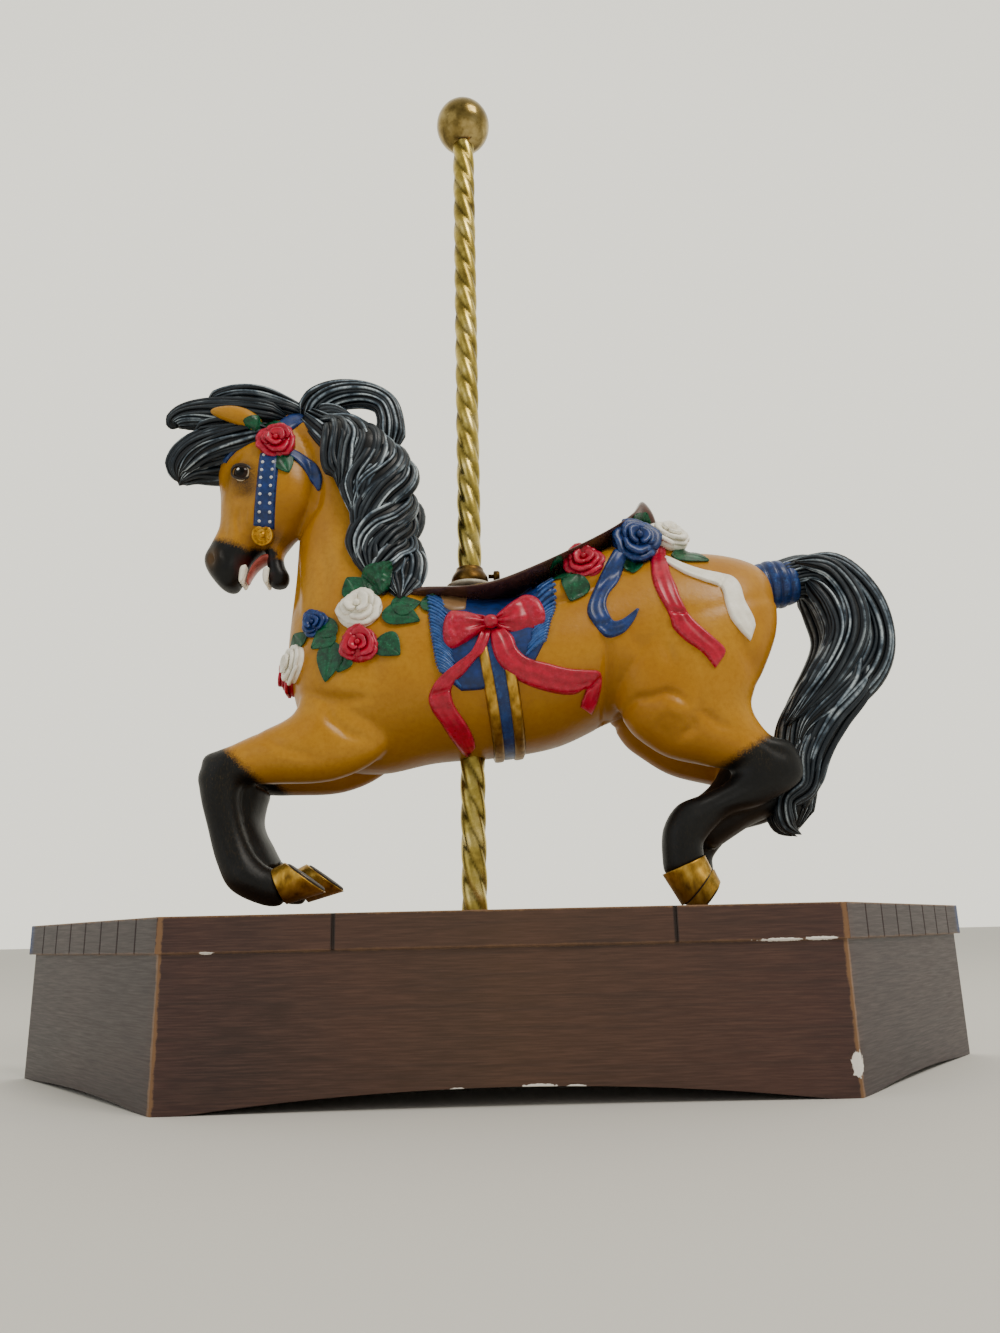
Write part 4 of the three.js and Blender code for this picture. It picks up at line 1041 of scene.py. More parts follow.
def rose(bm, place, normal, r, seed):
    """A full-blown rose: a bud, then rings of petals that open outwards."""
    rnd = random.Random(seed)
    turn = frame_on(normal.normalized(), rnd.random() * 6)
    lathe(bm, [(0.9 * r, -2.5)] + [(q * r, h * r) for q, h in ROSE_BASE], place, 24, turn)
    for k, (count, span, r_in, r_out, h_in, h_lip, curl) in enumerate(ROSE_ROUNDS):
        for i in range(count):
            angle = 2 * math.pi * (i + 0.5 * (k % 2)) / count + rnd.uniform(-0.35, 0.35)
            grow = rnd.uniform(0.86, 1.06)
            petal(bm, place, turn, angle, span * rnd.uniform(0.9, 1.05), r_in * r, min(r_out * r * grow, r),
                  h_in * r, h_lip * r * grow, curl * r, PETAL_THICKNESS * r)
    bead(bm, place + turn @ Vector((0, 0, 0.5 * r)), 0.14 * r, u=10, v=8)


LEAF_STEPS, LEAF_ACROSS = 26, 12
LEAF_TEETH = 26


def leaf(bm, skin, x0, z0, x1, z1, half, seed):
    """A rose leaf with a sunken midrib, raised side veins and a saw edge."""
    bend = random.Random(seed).uniform(-0.12, 0.12)
    span = Vector((x1 - x0, 0, z1 - z0))
    cross = Vector((span.z, 0, -span.x)).normalized()
    rows = []
    for t in shares(LEAF_STEPS):
        width = half * 1.5 * math.sin(math.pi * t ** 0.8) ** 0.8 * (1 - 0.35 * t) + 0.25
        width *= 1 + 0.07 * math.sin(LEAF_TEETH * math.pi * t)
        centre = Vector((x0, 0, z0)) + span * t + cross * bend * span.length * math.sin(math.pi * t)
        row = []
        for s in across_band(LEAF_ACROSS):
            p = centre + cross * width * s
            vein = math.cos(2 * math.pi * (6.5 * t - 2.2 * abs(s))) ** 2
            rib = math.exp(-((s / 0.16) ** 2))
            lift = 1.5 * (1 - 0.55 * abs(s)) - 0.7 * rib + 0.32 * vein * (1 - rib) + 0.6 * abs(s) ** 3
            y = skin.y(p.x, p.z)
            row.append((Vector((p.x, y - lift, p.z)), Vector((p.x, y + 1.5, p.z)),
                        min(1, 0.7 * vein ** 8 + 0.35 * abs(s) ** 8 + 0.7 * rib ** 3)))
        rows.append(row)
    bar(bm, rows)


# colour, x, z, radius, and how far the rose leans out from the skin towards the dressed side
ROSES = [
    ("blue", -87, 211, 7.5, 0.35), ("white", -65, 216, 12, 0.35), ("red", -64, 197, 9.5, 0.35),
    ("white", -97, 193, 10, 0.0), ("red", 43.3, 238.5, 10.6, 0.6), ("blue", 70, 252, 12.8, 0.4),
    ("white", 89, 258, 11, 0.3), ("red", -110, 310.5, 10.3, 0.5),
]
CHEST_ROSE = (-3, 190.5, 11)  # y, z, radius
# root x, z, tip x, z, half width
LEAVES = [
    (-66, 224, -72, 234, 5.5), (-54, 213, -36, 208, 5), (-50, 218, -36, 219, 4.5), (-36, 219, -24, 216, 4),
    (-56, 199, -45, 191, 5), (-76, 210, -86, 204, 5), (-76, 204, -88, 198, 4.5), (-78, 200, -80, 180, 5),
    (-72, 192, -74, 184, 4), (-94, 201, -99, 209, 4), (40, 230.5, 35.5, 217.5, 5.4),
    (37, 237, 24, 230.5, 3.8), (74, 259, 78.5, 272, 4.2), (66.5, 243, 67, 233, 4), (88, 246, 105, 240, 4.6),
    (-114, 316, -127, 322, 5), (-110, 319, -114, 326, 3.5), (-108, 303, -103, 293, 4.2),
]
MANE_LEAF = (-61, 226, -50, 240, 6)  # the one that lies on the mane


def flowers(skin, over_mane):
    """Roses in three colours and their leaves, over the breast, the croup and the brow."""
    for colour in ("red", "blue", "white"):
        bm = bmesh.new()
        for k, (name, x, z, r, lean) in enumerate(ROSES):
            if name == colour:
                hit, normal = skin.at(x, z)
                outwards = Vector((0, -1, 0)) * lean
                rose(bm, hit + Vector((0, -2.5 * lean, 0)), normal * (1 - lean) + outwards, r, 30 + k)
        if colour == "red":
            y, z, r = CHEST_ROSE
            rose(bm, *skin.front(y, z), r, 41)
        new_piece(colour + "_roses", bm, colour)
    bm = bmesh.new()
    for k, spec in enumerate(LEAVES):
        leaf(bm, skin, *spec, k)
    leaf(bm, over_mane, *MANE_LEAF, len(LEAVES))
    new_piece("rose_leaves", bm, "green")


BLUE_STREAMER = [
    (59, 246.5, 67, 246), (55.4, 239.7, 63.4, 239.1), (50.3, 229.6, 58.6, 228), (45.7, 220, 53.4, 220.7),
    (43.2, 212, 51.4, 214.8), (44.7, 206.2, 52.2, 209.7), (50.7, 198.6, 54.6, 205.5),
    (58.6, 200, 59.1, 206.4), (64, 205.7, 63.4, 209.6), (67.2, 211.7, 66.1, 211.9),
]
RED_STREAMER = [
    (80, 252.5, 86.5, 253.5), (77.5, 243, 84.5, 242), (75.9, 234.1, 83.9, 231.8), (75.8, 226, 85.5, 223.6),
    (77.5, 218.6, 86.5, 217.7), (80.5, 211.2, 88.8, 211.1), (82.3, 206.1, 90.7, 207.5),
    (83.4, 201.8, 93.8, 203.1), (88.5, 195.3, 100.3, 196.6), (95.6, 189.5, 105.4, 191.5),
    (101, 182.4, 105.4, 188),
]
WHITE_STREAMER = [
    (82.7, 239.8, 83, 246.8), (90.6, 231.7, 91, 238.2), (98.8, 227.2, 99.2, 233.6),
    (106.3, 224.1, 107.5, 231.4), (108.4, 221.1, 113.8, 229.6), (109.1, 214.5, 116.9, 224.8),
    (110.6, 207.2, 118.3, 215.9), (114.9, 200.6, 121.7, 207.1), (119.4, 196.2, 122.1, 202.7),
]
BOW_LEFT_TAIL = [
    (-7, 203, -2.5, 202), (-11.6, 191.5, -6.1, 191.5), (-19.9, 184.6, -10.7, 187),
    (-27.5, 178.5, -16.2, 180.7), (-31.3, 171.4, -21.6, 175.5), (-30.1, 165.6, -21.9, 170.6),
    (-26.3, 160.4, -19.6, 165.3), (-22, 154.6, -15.3, 159.6), (-17.6, 150.1, -12.1, 154.3),
    (-14.5, 148.2, -11.1, 150.9),
]
BOW_RIGHT_TAIL = [
    (2.3, 203.4, -2.9, 202), (6.7, 198, -2.0, 193), (8.7, 191.7, 0.9, 185.4), (13.5, 187, 7.4, 179.4),
    (21.5, 184.9, 15.9, 175.4), (31.6, 182.4, 26.5, 172.8), (39.6, 182, 35.3, 172.6),
    (47.2, 181.8, 40.8, 174.9), (48.4, 176.7, 41, 173.2), (46.5, 169.6, 39.5, 169.4),
    (44.3, 165.2, 38.9, 167.2),
]
BOW_LEFT_LOOP = [
    (-3.5, 208, -4, 202.5, 2.4), (-9, 209.2, -9.5, 199, 3.8), (-15, 210.8, -16.5, 194.2, 4.8),
    (-21, 211, -22, 192.6, 4.6), (-25, 206.5, -25.4, 197, 2.5),
]
BOW_RIGHT_LOOP = [
    (-2, 208, -1, 203, 2.4), (5, 214, 6.5, 200.6, 3.8), (12.5, 219, 14, 200.4, 4.8),
    (19, 217.5, 20, 202.4, 4.6), (22.6, 211, 22.8, 205.5, 2.5),
]
RIBBON = {"side": -1, "across": 10}


def ribbons(skin):
    """Flat streamers that fall from the roses behind the saddle, each with a turned fold."""
    for colour, edges, fold in (
        ("red", RED_STREAMER, 0.53), ("white", WHITE_STREAMER, 0.42), ("blue", BLUE_STREAMER, 0.62),
    ):
        bm = bmesh.new()
        draped_band(bm, skin, edges, 2.3, steps=70, folds=[(fold, 0.6)], ridges=0.14, **RIBBON)
        new_piece(colour + "_streamer", bm, colour)


def bow(skin):
    """The red bow on the girth: two puffed loops, a knot, and two long tails with turned ends."""
    bm = bmesh.new()
    crest = number_layer(bm, "crest")
    for stations, knot in ((BOW_LEFT_LOOP, (-2, 205)), (BOW_RIGHT_LOOP, (-3, 205.5))):
        rows = [s + (skin.y((s[0] + s[2]) / 2, (s[1] + s[3]) / 2) - 1.6,) for s in stations]
        for v in limb(bm, rows, 56, 50, 0.12):
            d = Vector((v.co.x - knot[0], 0, v.co.z - knot[1]))
            fold = math.sin(11 * math.atan2(d.z, abs(d.x)) + 0.8) * math.exp(-((d.length / 15) ** 2))
            rim = smoothstep(17, 22, d.length)
            v.co.y -= 1.2 * fold - 1.0 * math.exp(-(((d.length - 17.5) / 2.2) ** 2))
            v[crest] = max(0, min(1, 0.35 + 0.6 * fold + 0.4 * rim))
    for edges, fold in ((BOW_LEFT_TAIL, (0.46, 0.5)), (BOW_RIGHT_TAIL, (0.76, 0.6))):
        draped_band(bm, skin, edges, 2.6, steps=80, folds=[fold], ridges=0.16, **RIBBON)
    for v in bead(bm, (-3, skin.y(-3, 205) - 4.0, 205.2), 3.7, (1, 0.8, 0.9), u=24, v=16):
        v.co.x += 0.25 * math.sin(v.co.z * 3)
        v[crest] = 0.4 + 0.4 * math.sin(v.co.z * 3)
    new_piece("red_bow", bm, "red")


# ---- saddlery ----
SADDLE = [
    (-47, 229, -47, 221, 17), (-36, 233, -36, 221, 30), (-12.5, 235.4, -12.5, 221, 35),
    (6, 236, 6, 227, 36.5), (24, 240.5, 24, 234, 37), (44, 250, 42, 243.5, 34.5),
    (60, 260.5, 56, 252.5, 29), (71, 272, 68, 260, 21), (78, 282, 77, 264, 11.5), (85, 272, 85, 259, 9),
]
SEAT_DISH = 4.2


def saddle():
    """A glossy seat, dished so that the washer shows over its edge, that sweeps up to a tall cantle."""
    bm = bmesh.new()
    for v in limb(bm, SADDLE, 64, 90, 0.06):
        near_pole = math.exp(-(((v.co.x - POLE_X) / 26) ** 2))
        upper = smoothstep(222, 232, v.co.z)
        v.co.z -= SEAT_DISH * smoothstep(5, 28, abs(v.co.y)) * near_pole * upper
    new_piece("saddle", bm, "saddle")


# x, z down the front and the rear edge of the saddle cloth
CLOTH_FRONT = [(-33, 228), (-31, 210), (-29, 195), (-26, 182), (-17, 173.5)]
CLOTH_REAR = [(27, 235), (27.5, 216), (24.2, 205), (21.5, 195), (17, 186)]
CLOTH_ROWS, CLOTH_SAG = 40, 4
TUFT_WIDTHS = [0.8, 1.1, 0.6]
PAD_CORNER = [(-27, 225, -25, 215.5), (-20.5, 225, -21, 212.6), (-13.5, 225, -14.5, 213.8)]


def cloth_row(skin, side, t):
    """One row of the saddle cloth, from its front edge to its rear edge."""
    (front_x, front_z), (rear_x, rear_z) = along(CLOTH_FRONT, t), along(CLOTH_REAR, t)
    row = []
    for s in shares(CLOTH_ROWS):
        x = front_x + (rear_x - front_x) * s
        z = front_z + (rear_z - front_z) * s - CLOTH_SAG * math.sin(math.pi * s) * t
        y = skin.y(x, z, side)
        lift = 1.3 * min(1, min(s, 1 - s, (1 - t) * 1.2) * 20) ** 0.5
        row.append((Vector((x, y + side * (lift + THINNEST), z)), Vector((x, y - side * UNDERLAP, z)), 0.0))
    return row


def blanket(skin):
    """A blue saddle cloth with a combed pale fringe down both edges, on both sides of the horse."""
    cloth, fringe, pad = bmesh.new(), bmesh.new(), bmesh.new()
    for side in (-1, 1):
        bar(cloth, [cloth_row(skin, side, t) for t in shares(CLOTH_ROWS)])
        draped_band(pad, skin, PAD_CORNER, 2.2, side, steps=16, across=6, hollow=0)
        rnd = random.Random(4)
        for path, lean, count in ((CLOTH_FRONT, 1, 24), (CLOTH_REAR, -1, 18)):
            for i in range(count):
                x, z = along(path, 0.06 + 0.72 * i / count)
                reach = 8.5 + rnd.uniform(-0.8, 0.8)
                middle = [(x - 0.8 * lean, z + 1.2), (x + 0.5 * lean * reach, z - 0.25 * reach),
                          (x + lean * reach, z - 0.8 * reach)]
                proud = 2.7 + rnd.uniform(-0.2, 0.3)
                tuft = edges_of(middle, TUFT_WIDTHS, 5)
                draped_band(fringe, skin, tuft, proud, side, steps=10, across=4, hollow=0, sharp=2.5)
    new_piece("saddle_pad", pad, "tan")
    new_piece("saddle_cloth", cloth, "blue")
    new_piece("cloth_fringe", fringe, "pale_blue")


# material, x at the saddle, x under the belly, half width, how far it stands proud
GIRTHS = {
    "girth_gold_front": ("gold", -7.5, 0.9, 3.0, 2.3),
    "girth_gold_rear": ("gold", 3.4, 10.6, 3.0, 2.3),
    "girth_blue": ("strap_blue", -2.0, 5.8, 4.3, 1.5),
}
GIRTH_STEPS, GIRTH_ACROSS, BELLY_AXIS = 90, 6, 190


def girth(skin):
    """Two gilt straps with a blue one between them, right round the belly."""
    for name, (colour, x_high, x_low, half, proud) in GIRTHS.items():
        bm = bmesh.new()
        rows, dark = [], []
        for t in shares(GIRTH_STEPS):
            drop = math.sin(math.pi * t)
            x0 = x_high + (x_low - x_high) * drop
            row = []
            for s in across_band(GIRTH_ACROSS):
                hit = skin.around(x0 + half * s, BELLY_AXIS, math.radians(-8 + 196 * t))
                out = (hit - Vector((hit.x, 0, BELLY_AXIS))).normalized()
                lift = proud * (1 - abs(s) ** 4) ** 0.5
                row.append((hit + out * max(lift, THINNEST), hit - out * UNDERLAP, abs(s)))
            rows.append(row)
            # painted shade: the gilt darkens where the straps pass under the belly
            dark.append([0.75 * smoothstep(0.55, 1.0, drop)] * (2 * GIRTH_ACROSS))
        bar(bm, rows, shade=dark)
        new_piece(name, bm, colour)


# middle line x, z, half widths, how far the strap stands proud
STRAPS = [
    ([(-140.5, 305.5), (-137, 309.8), (-131, 314.8), (-121, 318.8)], [3.8, 4.5, 4.7, 4.7], 1.5),
    ([(-112, 317), (-105, 326), (-97, 333)], [3.8, 4.2, 4.6], 1.4),
    ([(-113, 304), (-113.5, 292), (-114.5, 279), (-115.8, 266)], [4.4, 4.5, 4.5, 4.4], 1.6),
    ([(-107, 307), (-99, 303.5), (-93, 298), (-89.6, 291), (-88.6, 285.5)], [2.4, 2.8, 3.2, 2.7, 0.6], 1.6),
]
CHEEK_STUDS = [(-113 - 2.6 * i / 9 + 2.6 * s, 302 - 4.15 * i) for i in range(9) for s in (-1, 1)]
BROW_STUDS = [(-138, 308.5), (-134, 311.5), (-130, 313.5), (-126, 315.5)]
BIT_RING = (-117, 263)
# profile of the rosette at the bit: radius and height
ROSETTE = [
    (5.2, -2.5), (5.5, 0.8), (5.2, 1.6), (4.6, 1.9), (4.1, 1.3), (3.3, 1.3), (2.7, 2.2), (2.3, 1.6),
    (1.6, 1.7), (1.3, 2.5), (0.3, 2.8),
]


def bridle(skin):
    """Blue straps, studded down the cheek, with a gilt rosette at each bit ring."""
    straps, studs, rosettes = bmesh.new(), bmesh.new(), bmesh.new()
    for side in (-1, 1):
        for middle, halves, proud in STRAPS:
            edges = edges_of(middle, halves, 16)
            draped_band(straps, skin, edges, proud, side, steps=34, across=8, hollow=0.05)
        for places, lift, radius, u in ((CHEEK_STUDS, 1.5, 0.85, 10), (BROW_STUDS, 1.2, 0.6, 8)):
            for x, z in places:
                hit, normal = skin.at(x, z, side)
                bead(studs, hit + normal * lift, radius, (1, 0.75, 1), u=u, v=6)
        hit, normal = skin.at(*BIT_RING, side)
        turn = frame_on(normal * 0.35 + Vector((0, side * 0.65, 0)))
        hit = hit + normal * 0.6
        lathe(rosettes, ROSETTE, hit, 40, turn)
        for a in turns(12):
            bead(rosettes, hit + turn @ Vector((3.7 * math.cos(a), 3.7 * math.sin(a), 1.4)), 0.42, u=8, v=6)
    new_piece("bridle_straps", straps, "blue")
    new_piece("bridle_studs", studs, "stud")
    new_piece("bit_rosettes", rosettes, "bright_gold")


# ---- head, hooves and tail wrap ----
EYE_PLACE, EYE_RADIUS, EYE_DEPTH = (-127, 293.5), 4.5, 2.2
LID_HALF, LID_STEPS, LID_SIDES = 5.1, 24, 10


def eyes(skin):
    """Glazed balls that look out and a little forward, each between two lids."""
    balls, lids = bmesh.new(), bmesh.new()
    iris, glint = number_layer(balls, "iris"), number_layer(balls, "glint")
    for side in (-1, 1):
        hit, normal = skin.at(*EYE_PLACE, side)
        normal = (normal + Vector((0, side * 0.6, 0))).normalized()
        centre = hit - normal * EYE_DEPTH
        look = (normal * 0.5 + Vector((-0.12, side * 0.6, -0.05))).normalized()
        # painted highlight: a white catchlight dot on the ball, up and forward of where it looks
        shine = (look + Vector((-0.2, 0, 0.26))).normalized()
        for v in bead(balls, centre, EYE_RADIUS, u=96, v=72):
            out = (v.co - centre).normalized()
            v[iris] = math.degrees(math.acos(max(-1, min(1, out.dot(look))))) / 90
            v[glint] = smoothstep(0.985, 0.992, out.dot(shine))
        level = Vector((1, 0, -0.12)).normalized()
        upward = normal.cross(level) * (-side)
        for rise, thick in ((3.9, 1.0), (-3.4, 0.75)):
            rings = []
            for t in shares(LID_STEPS):
                a = math.pi * t
                p = hit + level * (-LID_HALF * math.cos(a)) + upward * (rise * math.sin(a) ** 0.9)
                p += normal * (0.9 * math.sin(a) - 0.6)
                run = (level * math.sin(a) + upward * (rise / LID_HALF) * math.cos(a)).normalized()
                across = run.cross(normal).normalized()
                size = thick * (0.45 + 0.55 * math.sin(a))
                rings.append([p + across * size * math.cos(b) + normal * size * math.sin(b)
                              for b in turns(LID_SIDES)])
            tube(lids, rings)
    new_piece("eyes", balls, "eye")
    new_piece("eyelids", lids, "lid")


# a tooth of each jaw: front edge x, z, back edge x, z, half thickness; and how far its row spreads in Y
TEETH = [
    ([(-129, 248, -125, 249.5, 1.7), (-129.2, 243.5, -126, 244, 1.5), (-129, 239.4, -127.4, 239.6, 1.1)], 1),
    ([(-117.2, 247.5, -113.8, 248, 1.6), (-117.4, 243, -114.2, 243.5, 1.4),
      (-116.6, 239, -114.8, 238.9, 1.0)], 0.85),
]
TONGUE = [
    (-112, 256, -111, 252, 4.5), (-115, 256.3, -113.8, 252, 5.5), (-119, 255, -117, 251.6, 6),
    (-123, 250.8, -120.8, 248.6, 5.5), (-125.6, 245, -123.8, 244, 4.5), (-126.3, 240.2, -125.3, 240, 3),
]


def mouth():
    """Teeth in both jaws and the tongue between them."""
    bm = bmesh.new()
    for y in (-6, -3, 0, 3, 6):
        for stations, spread in TEETH:
            limb(bm, [(*station, y * spread) for station in stations], 14, 14, 0.2)
    new_piece("teeth", bm, "white")
    bm = bmesh.new()
    limb(bm, TONGUE, 24, 30, 0.1)
    new_piece("tongue", bm, "tongue")


# outline and half thickness of an ear, and its distance from the middle of the head
EAR = [
    (-120, 316, -118, 325, 4, 15), (-126, 320, -125, 330, 4.5, 16), (-133, 322.5, -133, 332, 4, 17),
    (-140, 325.5, -141, 331.5, 3, 17), (-145, 328.5, -145, 330, 1, 17),
]


def ears():
    """Two ears laid flat along the forelock."""
    bm = bmesh.new()
    for side in (-1, 1):
        limb(bm, [(*station, side * y) for *station, y in EAR], 28, 30, 0.1)
    new_piece("ears", bm, "coat")


# radius in shares of the hoof's half length, and height
SOLE = [(0.1, -2.0), (0.8, -2.0), (0.9, -0.6), (0.84, 0.1), (0.7, -0.1), (0.3, -0.4), (0.04, -0.4)]


def hooves():
    """Gilt hooves with painted shade that browns them towards the ground, and their bare soles."""
    walls, soles = bmesh.new(), bmesh.new()
    shade = number_layer(walls, "shade")
    for stations in (on_side(FORE_HOOF, -1), on_side(FORE_HOOF, 1, FAR_FORE_SHIFT),
                     on_side(HIND_HOOF, -1), on_side(HIND_HOOF, 1, FAR_HIND_SHIFT)):
        (ax, az, bx, bz, w, y), (cx, cz, dx, dz, w2, _) = stations
        top, foot = Vector((ax + bx, 0, az + bz)) / 2, Vector((cx + dx, 0, cz + dz)) / 2
        rows = [(ax, az, bx, bz, w - 1.0, y), (ax, az, bx, bz, w + 0.8, y)]
        for t in (0.35, 0.7):
            mix = [p + (q - p) * t for p, q in zip((ax, az, bx, bz, w + 0.4), (cx, cz, dx, dz, w2))]
            rows.append((*mix, y))
        rows.append((cx, cz, dx, dz, w2, y))
        for v in limb(walls, rows, 40, 36, 0.06):
            # painted shade: the gilt turns brown towards the ground
            v[shade] = 0.85 * smoothstep(top.z + 2, min(cz, az) - 1, v.co.z)
        across = Vector((dx - cx, 0, dz - cz))
        normal = Vector((across.z, 0, -across.x)).normalized()
        normal *= 1 if normal.dot(foot - top) > 0 else -1
        r = across.length / 2
        place = Vector((foot.x, y, foot.z)) + normal * 0.35
        lathe(soles, [(q * r, h) for q, h in SOLE], place, 40, frame_on(normal))
    new_piece("hooves", walls, "gold")
    new_piece("hoof_soles", soles, "sole")


WRAP_STEPS, WRAP_SIDES = 60, 40
WRAP_TURNS, WRAP_RADIUS = 4, 11.2


def tail_wrap():
    """The blue binding at the root of the tail, wound in four turns."""
    bm = bmesh.new()
    forward = Vector((1, 0, 0.17)).normalized()
    lift, sideways = Vector((-forward.z, 0, forward.x)), Vector((0, 1, 0))
    rings, lit = [], []
    for t in shares(WRAP_STEPS):
        centre = Vector((134 + 20 * t, 0, 234.5 + 3.5 * t - 0.5 * t * t))
        groove = abs(math.sin(math.pi * WRAP_TURNS * t))
        size = (WRAP_RADIUS + 1.4 * math.sin(math.pi * t)) * (1 - 0.07 * (1 - groove) ** 2)
        ring = []
        for a in turns(WRAP_SIDES):
            wobble = 1 + 0.02 * math.sin(3 * a + 9 * t)
            ring.append(centre + lift * size * wobble * math.cos(a) + sideways * size * wobble * math.sin(a))
        rings.append(ring)
        lit.append([groove ** 2 * 0.8] * WRAP_SIDES)
    tube(bm, rings, crest=lit)
    new_piece("tail_wrap", bm, "blue")


# ---- pole and fittings ----
POLE_SIDES, POLE_STEP = 72, 1.6
POLE_VALLEY, POLE_RIDGE = 0.82, 0.18  # shares of the pole's radius


def ridge_at(angle, z):
    """1 on the crest of a twisted ridge, 0 in the valley."""
    return abs(math.cos(0.5 * POLE_FLUTES * (angle + 2 * math.pi * z / POLE_LEAD))) ** 0.75


def pole():
    """A rolled barley twist: four rounded ridges, left-handed, with tight valleys."""
    bm = bmesh.new()
    low, high = (corner[2] / MM for corner in BOX["pole"])
    count = int((high - low) / POLE_STEP)
    radius = radius_of("pole")
    rings = []
    for i in range(count + 1):
        z = low + (high - low) * i / count
        radii = [(a, radius * (POLE_VALLEY + POLE_RIDGE * ridge_at(a, z))) for a in turns(POLE_SIDES)]
        rings.append([Vector((POLE_X + r * math.cos(a), r * math.sin(a), z)) for a, r in radii])
    tube(bm, rings)
    # painted shade, with the tarnish that gathers there: the grooves of the twist are marked to be painted
    # darker
    groove = number_layer(bm, "groove")
    for v in bm.verts:
        v[groove] = (1 - ridge_at(math.atan2(v.co.y, v.co.x - POLE_X), v.co.z)) ** 1.3
    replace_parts(new_piece("twisted_pole", bm, "pole"), "pole")


BALL_STEPS = 60
# profile of the collar: radius and height
COLLAR = [
    (6.6, 0.0), (8.9, 0.0), (9.5, 0.5), (9.6, 1.8), (9.4, 3.2), (8.9, 4.6), (8.2, 5.8), (7.5, 6.8),
    (7.05, 7.8), (6.9, 8.7), (6.5, 9.0),
]
# profile of the thumb screw: radius, and distance along it in shares of its length
SCREW = [(1.1, 0.0), (1.1, 0.42), (2.2, 0.44), (2.85, 0.5), (2.9, 0.85), (2.4, 0.97), (0.4, 1)]
WASHER_BORE = 6.6


def turned(name, profile, place, material, segments=72, turn=None):
    """A lathed fitting, in millimetres."""
    bm = bmesh.new()
    lathe(bm, profile, place, segments, turn)
    return new_piece(name, bm, material)


def fittings():
    """The ball on top, and the turned collar, its thumb screw and the felt washer at the seat."""
    r = radius_of("finial_ball")
    angles = (math.radians(4 + 172 * i / BALL_STEPS) for i in range(BALL_STEPS + 1))
    profile = [(r * math.sin(a), r * -math.cos(a)) for a in angles]
    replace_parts(turned("ball", profile, (POLE_X, 0, BALL_CENTRE), "ball"), "finial_ball")
    place = (POLE_X, 0, BOX["collar"][0][2] / MM)
    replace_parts(turned("collar_ring", COLLAR, place, "collar"), "collar")
    low, high = BOX["thumb_screw"]
    x0, x1 = low[0] / MM, high[0] / MM
    place, turn = (x0, 0, (low[2] + high[2]) / 2 / MM), Matrix.Rotation(math.pi / 2, 3, "Y")
    profile = [(r, share * (x1 - x0)) for r, share in SCREW]
    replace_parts(turned("screw", profile, place, "collar", 28, turn), "thumb_screw")
    low, high = BOX["washer"]
    thick, r = (high[2] - low[2]) / MM, radius_of("washer")
    profile = [(WASHER_BORE, 0.0), (r - 0.5, 0.0), (r, 0.35 * thick), (r - 0.1, 0.75 * thick),
               (r - 0.8, thick), (WASHER_BORE, thick)]
    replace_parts(turned("felt_ring", profile, (POLE_X, 0, low[2] / MM), "felt"), "washer")


# ---- platform ----
def platform():
    """The stand as cast, with every arris rubbed round."""
    source = bpy.data.objects["platform"]
    bm = bmesh.new()
    bm.from_mesh(source.data)
    bmesh.ops.transform(bm, matrix=Matrix.Scale(1 / MM, 4) @ source.matrix_world, verts=bm.verts)
    bmesh.ops.remove_doubles(bm, verts=bm.verts, dist=0.01)
    bmesh.ops.dissolve_limit(bm, angle_limit=math.radians(0.5), verts=bm.verts, edges=bm.edges)
    sharp = [e for e in bm.edges if len(e.link_faces) == 2 and e.calc_face_angle(0) > math.radians(25)]
    bmesh.ops.bevel(bm, geom=sharp, offset=PLATFORM_ARRIS, offset_type="OFFSET", segments=2, profile=0.5,
                    affect="EDGES", clamp_overlap=True, material=-1)
    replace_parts(new_piece("platform_body", bm, "platform", flat=True), "platform")


platform()
pole()
fittings()
horse_body()
saddle()
body_skin = Skin("horse_body")
blanket(body_skin)
girth(body_skin)
bow(Skin("horse_body", "saddle_cloth"))
ribbons(body_skin)
bridle(body_skin)
eyes(body_skin)
mouth()
ears()
hooves()
tail_wrap()
mane(body_skin)
forelock()
tail()
flowers(Skin("horse_body", "saddle", "ears"), Skin("horse_body", "mane"))


# ---- floor, light and camera ----
def set_stage():
    """A wide matt floor under the stand."""
    bpy.ops.mesh.primitive_plane_add(size=60, location=(0, 0, 0))
    floor = bpy.context.object
    floor.name = "floor"
    new = Paint("matt_pale_floor")
    shader = new.tree.nodes["Principled BSDF"]
    feed(shader.inputs["Base Color"], "#CFCDC8")
    feed(shader.inputs["Roughness"], 0.9)
    floor.data.materials.append(new.material)


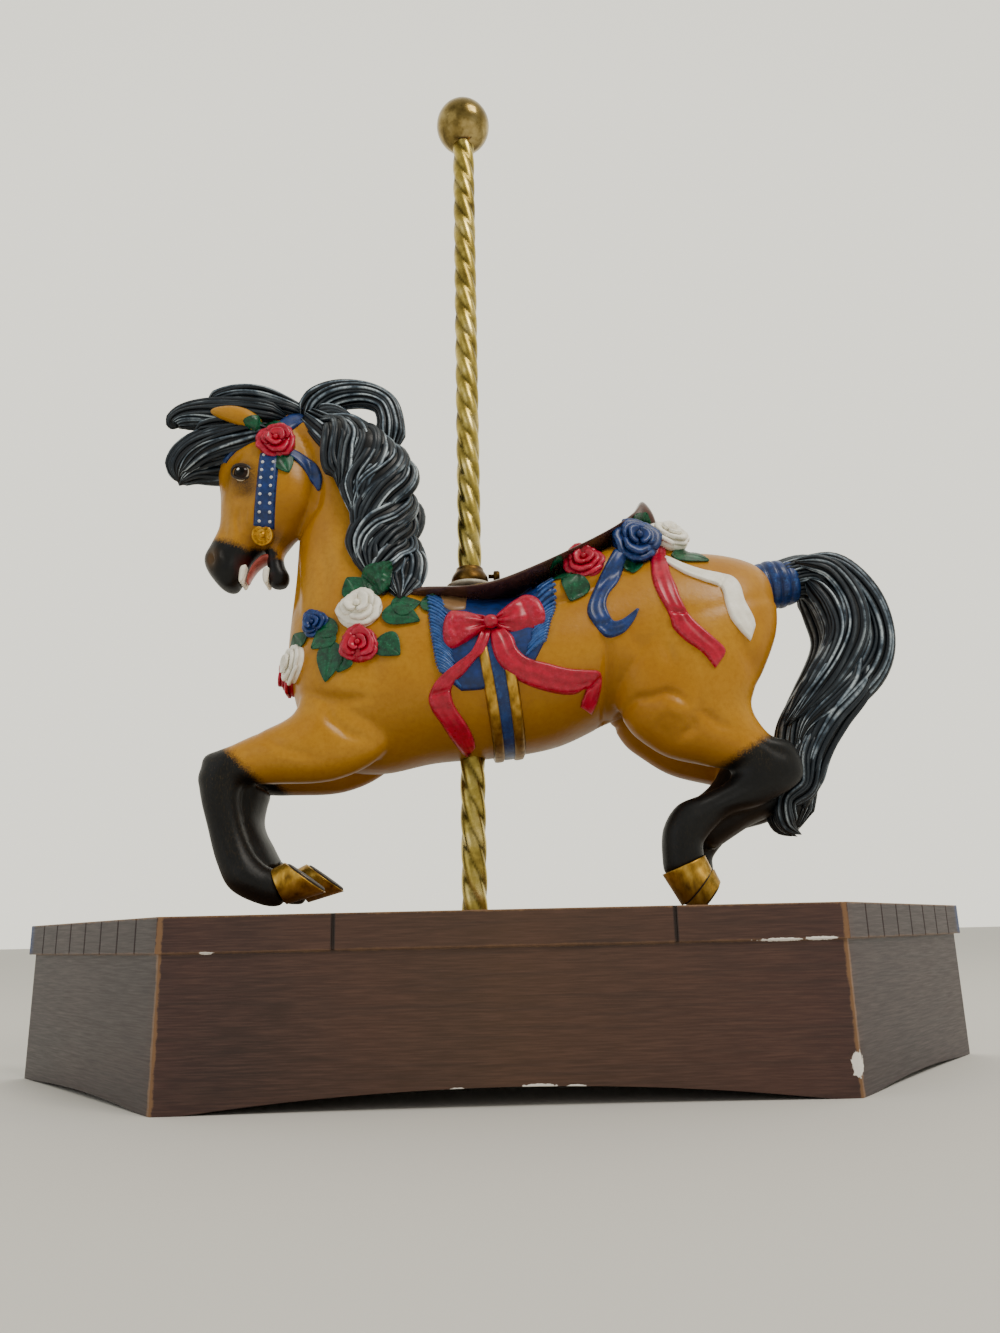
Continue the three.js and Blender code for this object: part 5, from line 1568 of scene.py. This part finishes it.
def lamp(name, place, size, power, colour, aim=(0, 0, 0.25)):
    """A rectangular lamp with its place and size in metres and its power in watts."""
    data = bpy.data.lights.new(name, "AREA")
    data.shape = "RECTANGLE"
    data.size, data.size_y = size
    data.energy = power
    data.color = linear(colour)[:3]
    light = bpy.data.objects.new(name, data)
    light.location = place
    light.rotation_euler = (Vector(aim) - Vector(place)).to_track_quat("-Z", "Y").to_euler()
    bpy.context.scene.collection.objects.link(light)


def set_light():
    """A pale room that is brighter behind the piece, a soft window high on the right, and a weak fill."""
    world = bpy.data.worlds.new("studio")
    world.use_nodes = True
    tree = world.node_tree
    look = Value(add(tree, "ShaderNodeTexCoord").outputs["Generated"])
    depth = Value(add(tree, "ShaderNodeSeparateXYZ", {"Vector": look}).outputs["Y"])
    limits = {"From Min": -0.6, "From Max": 0.7, "To Min": 0.6, "To Max": 1.85}
    room = tree.nodes["Background"]
    brightness = add(tree, "ShaderNodeMapRange", {"Value": depth, **limits})
    feed(room.inputs["Strength"], Value(brightness.outputs[0]))
    feed(room.inputs["Color"], "#E8E5D8")
    bpy.context.scene.world = world
    lamp("key", (0.9, -1.1, 1.7), (0.8, 0.8), 26, "#FFF8EE")
    lamp("fill", (-1.3, -1.3, 0.8), (1.2, 1.2), 4, "#F2F6FF")


CAMERA_PLACE = (-9.6, -484.6, 64.6)
PITCH, YAW, ROLL = math.radians(15.05), math.radians(1.366), math.radians(-1.314)
FILM = 36  # the longer side of the film, in millimetres
LENS = FILM * 1001 / 1333


def set_camera():
    """The eye is half a metre off, low down and looking up."""
    forward = Vector((math.sin(YAW) * math.cos(PITCH), math.cos(YAW) * math.cos(PITCH), math.sin(PITCH)))
    level = Vector((math.cos(YAW), -math.sin(YAW), 0))
    up = level.cross(forward)
    side = math.cos(ROLL) * level + math.sin(ROLL) * up
    top = -math.sin(ROLL) * level + math.cos(ROLL) * up
    data = bpy.data.cameras.new("camera")
    data.sensor_width = FILM
    data.lens = LENS
    data.clip_start = 0.01
    camera = bpy.data.objects.new("camera", data)
    turn = Matrix((side, top, -forward)).transposed().to_4x4()
    camera.matrix_world = Matrix.Translation(Vector(CAMERA_PLACE) * MM) @ turn
    bpy.context.scene.collection.objects.link(camera)
    bpy.context.scene.camera = camera


set_stage()
set_light()
set_camera()
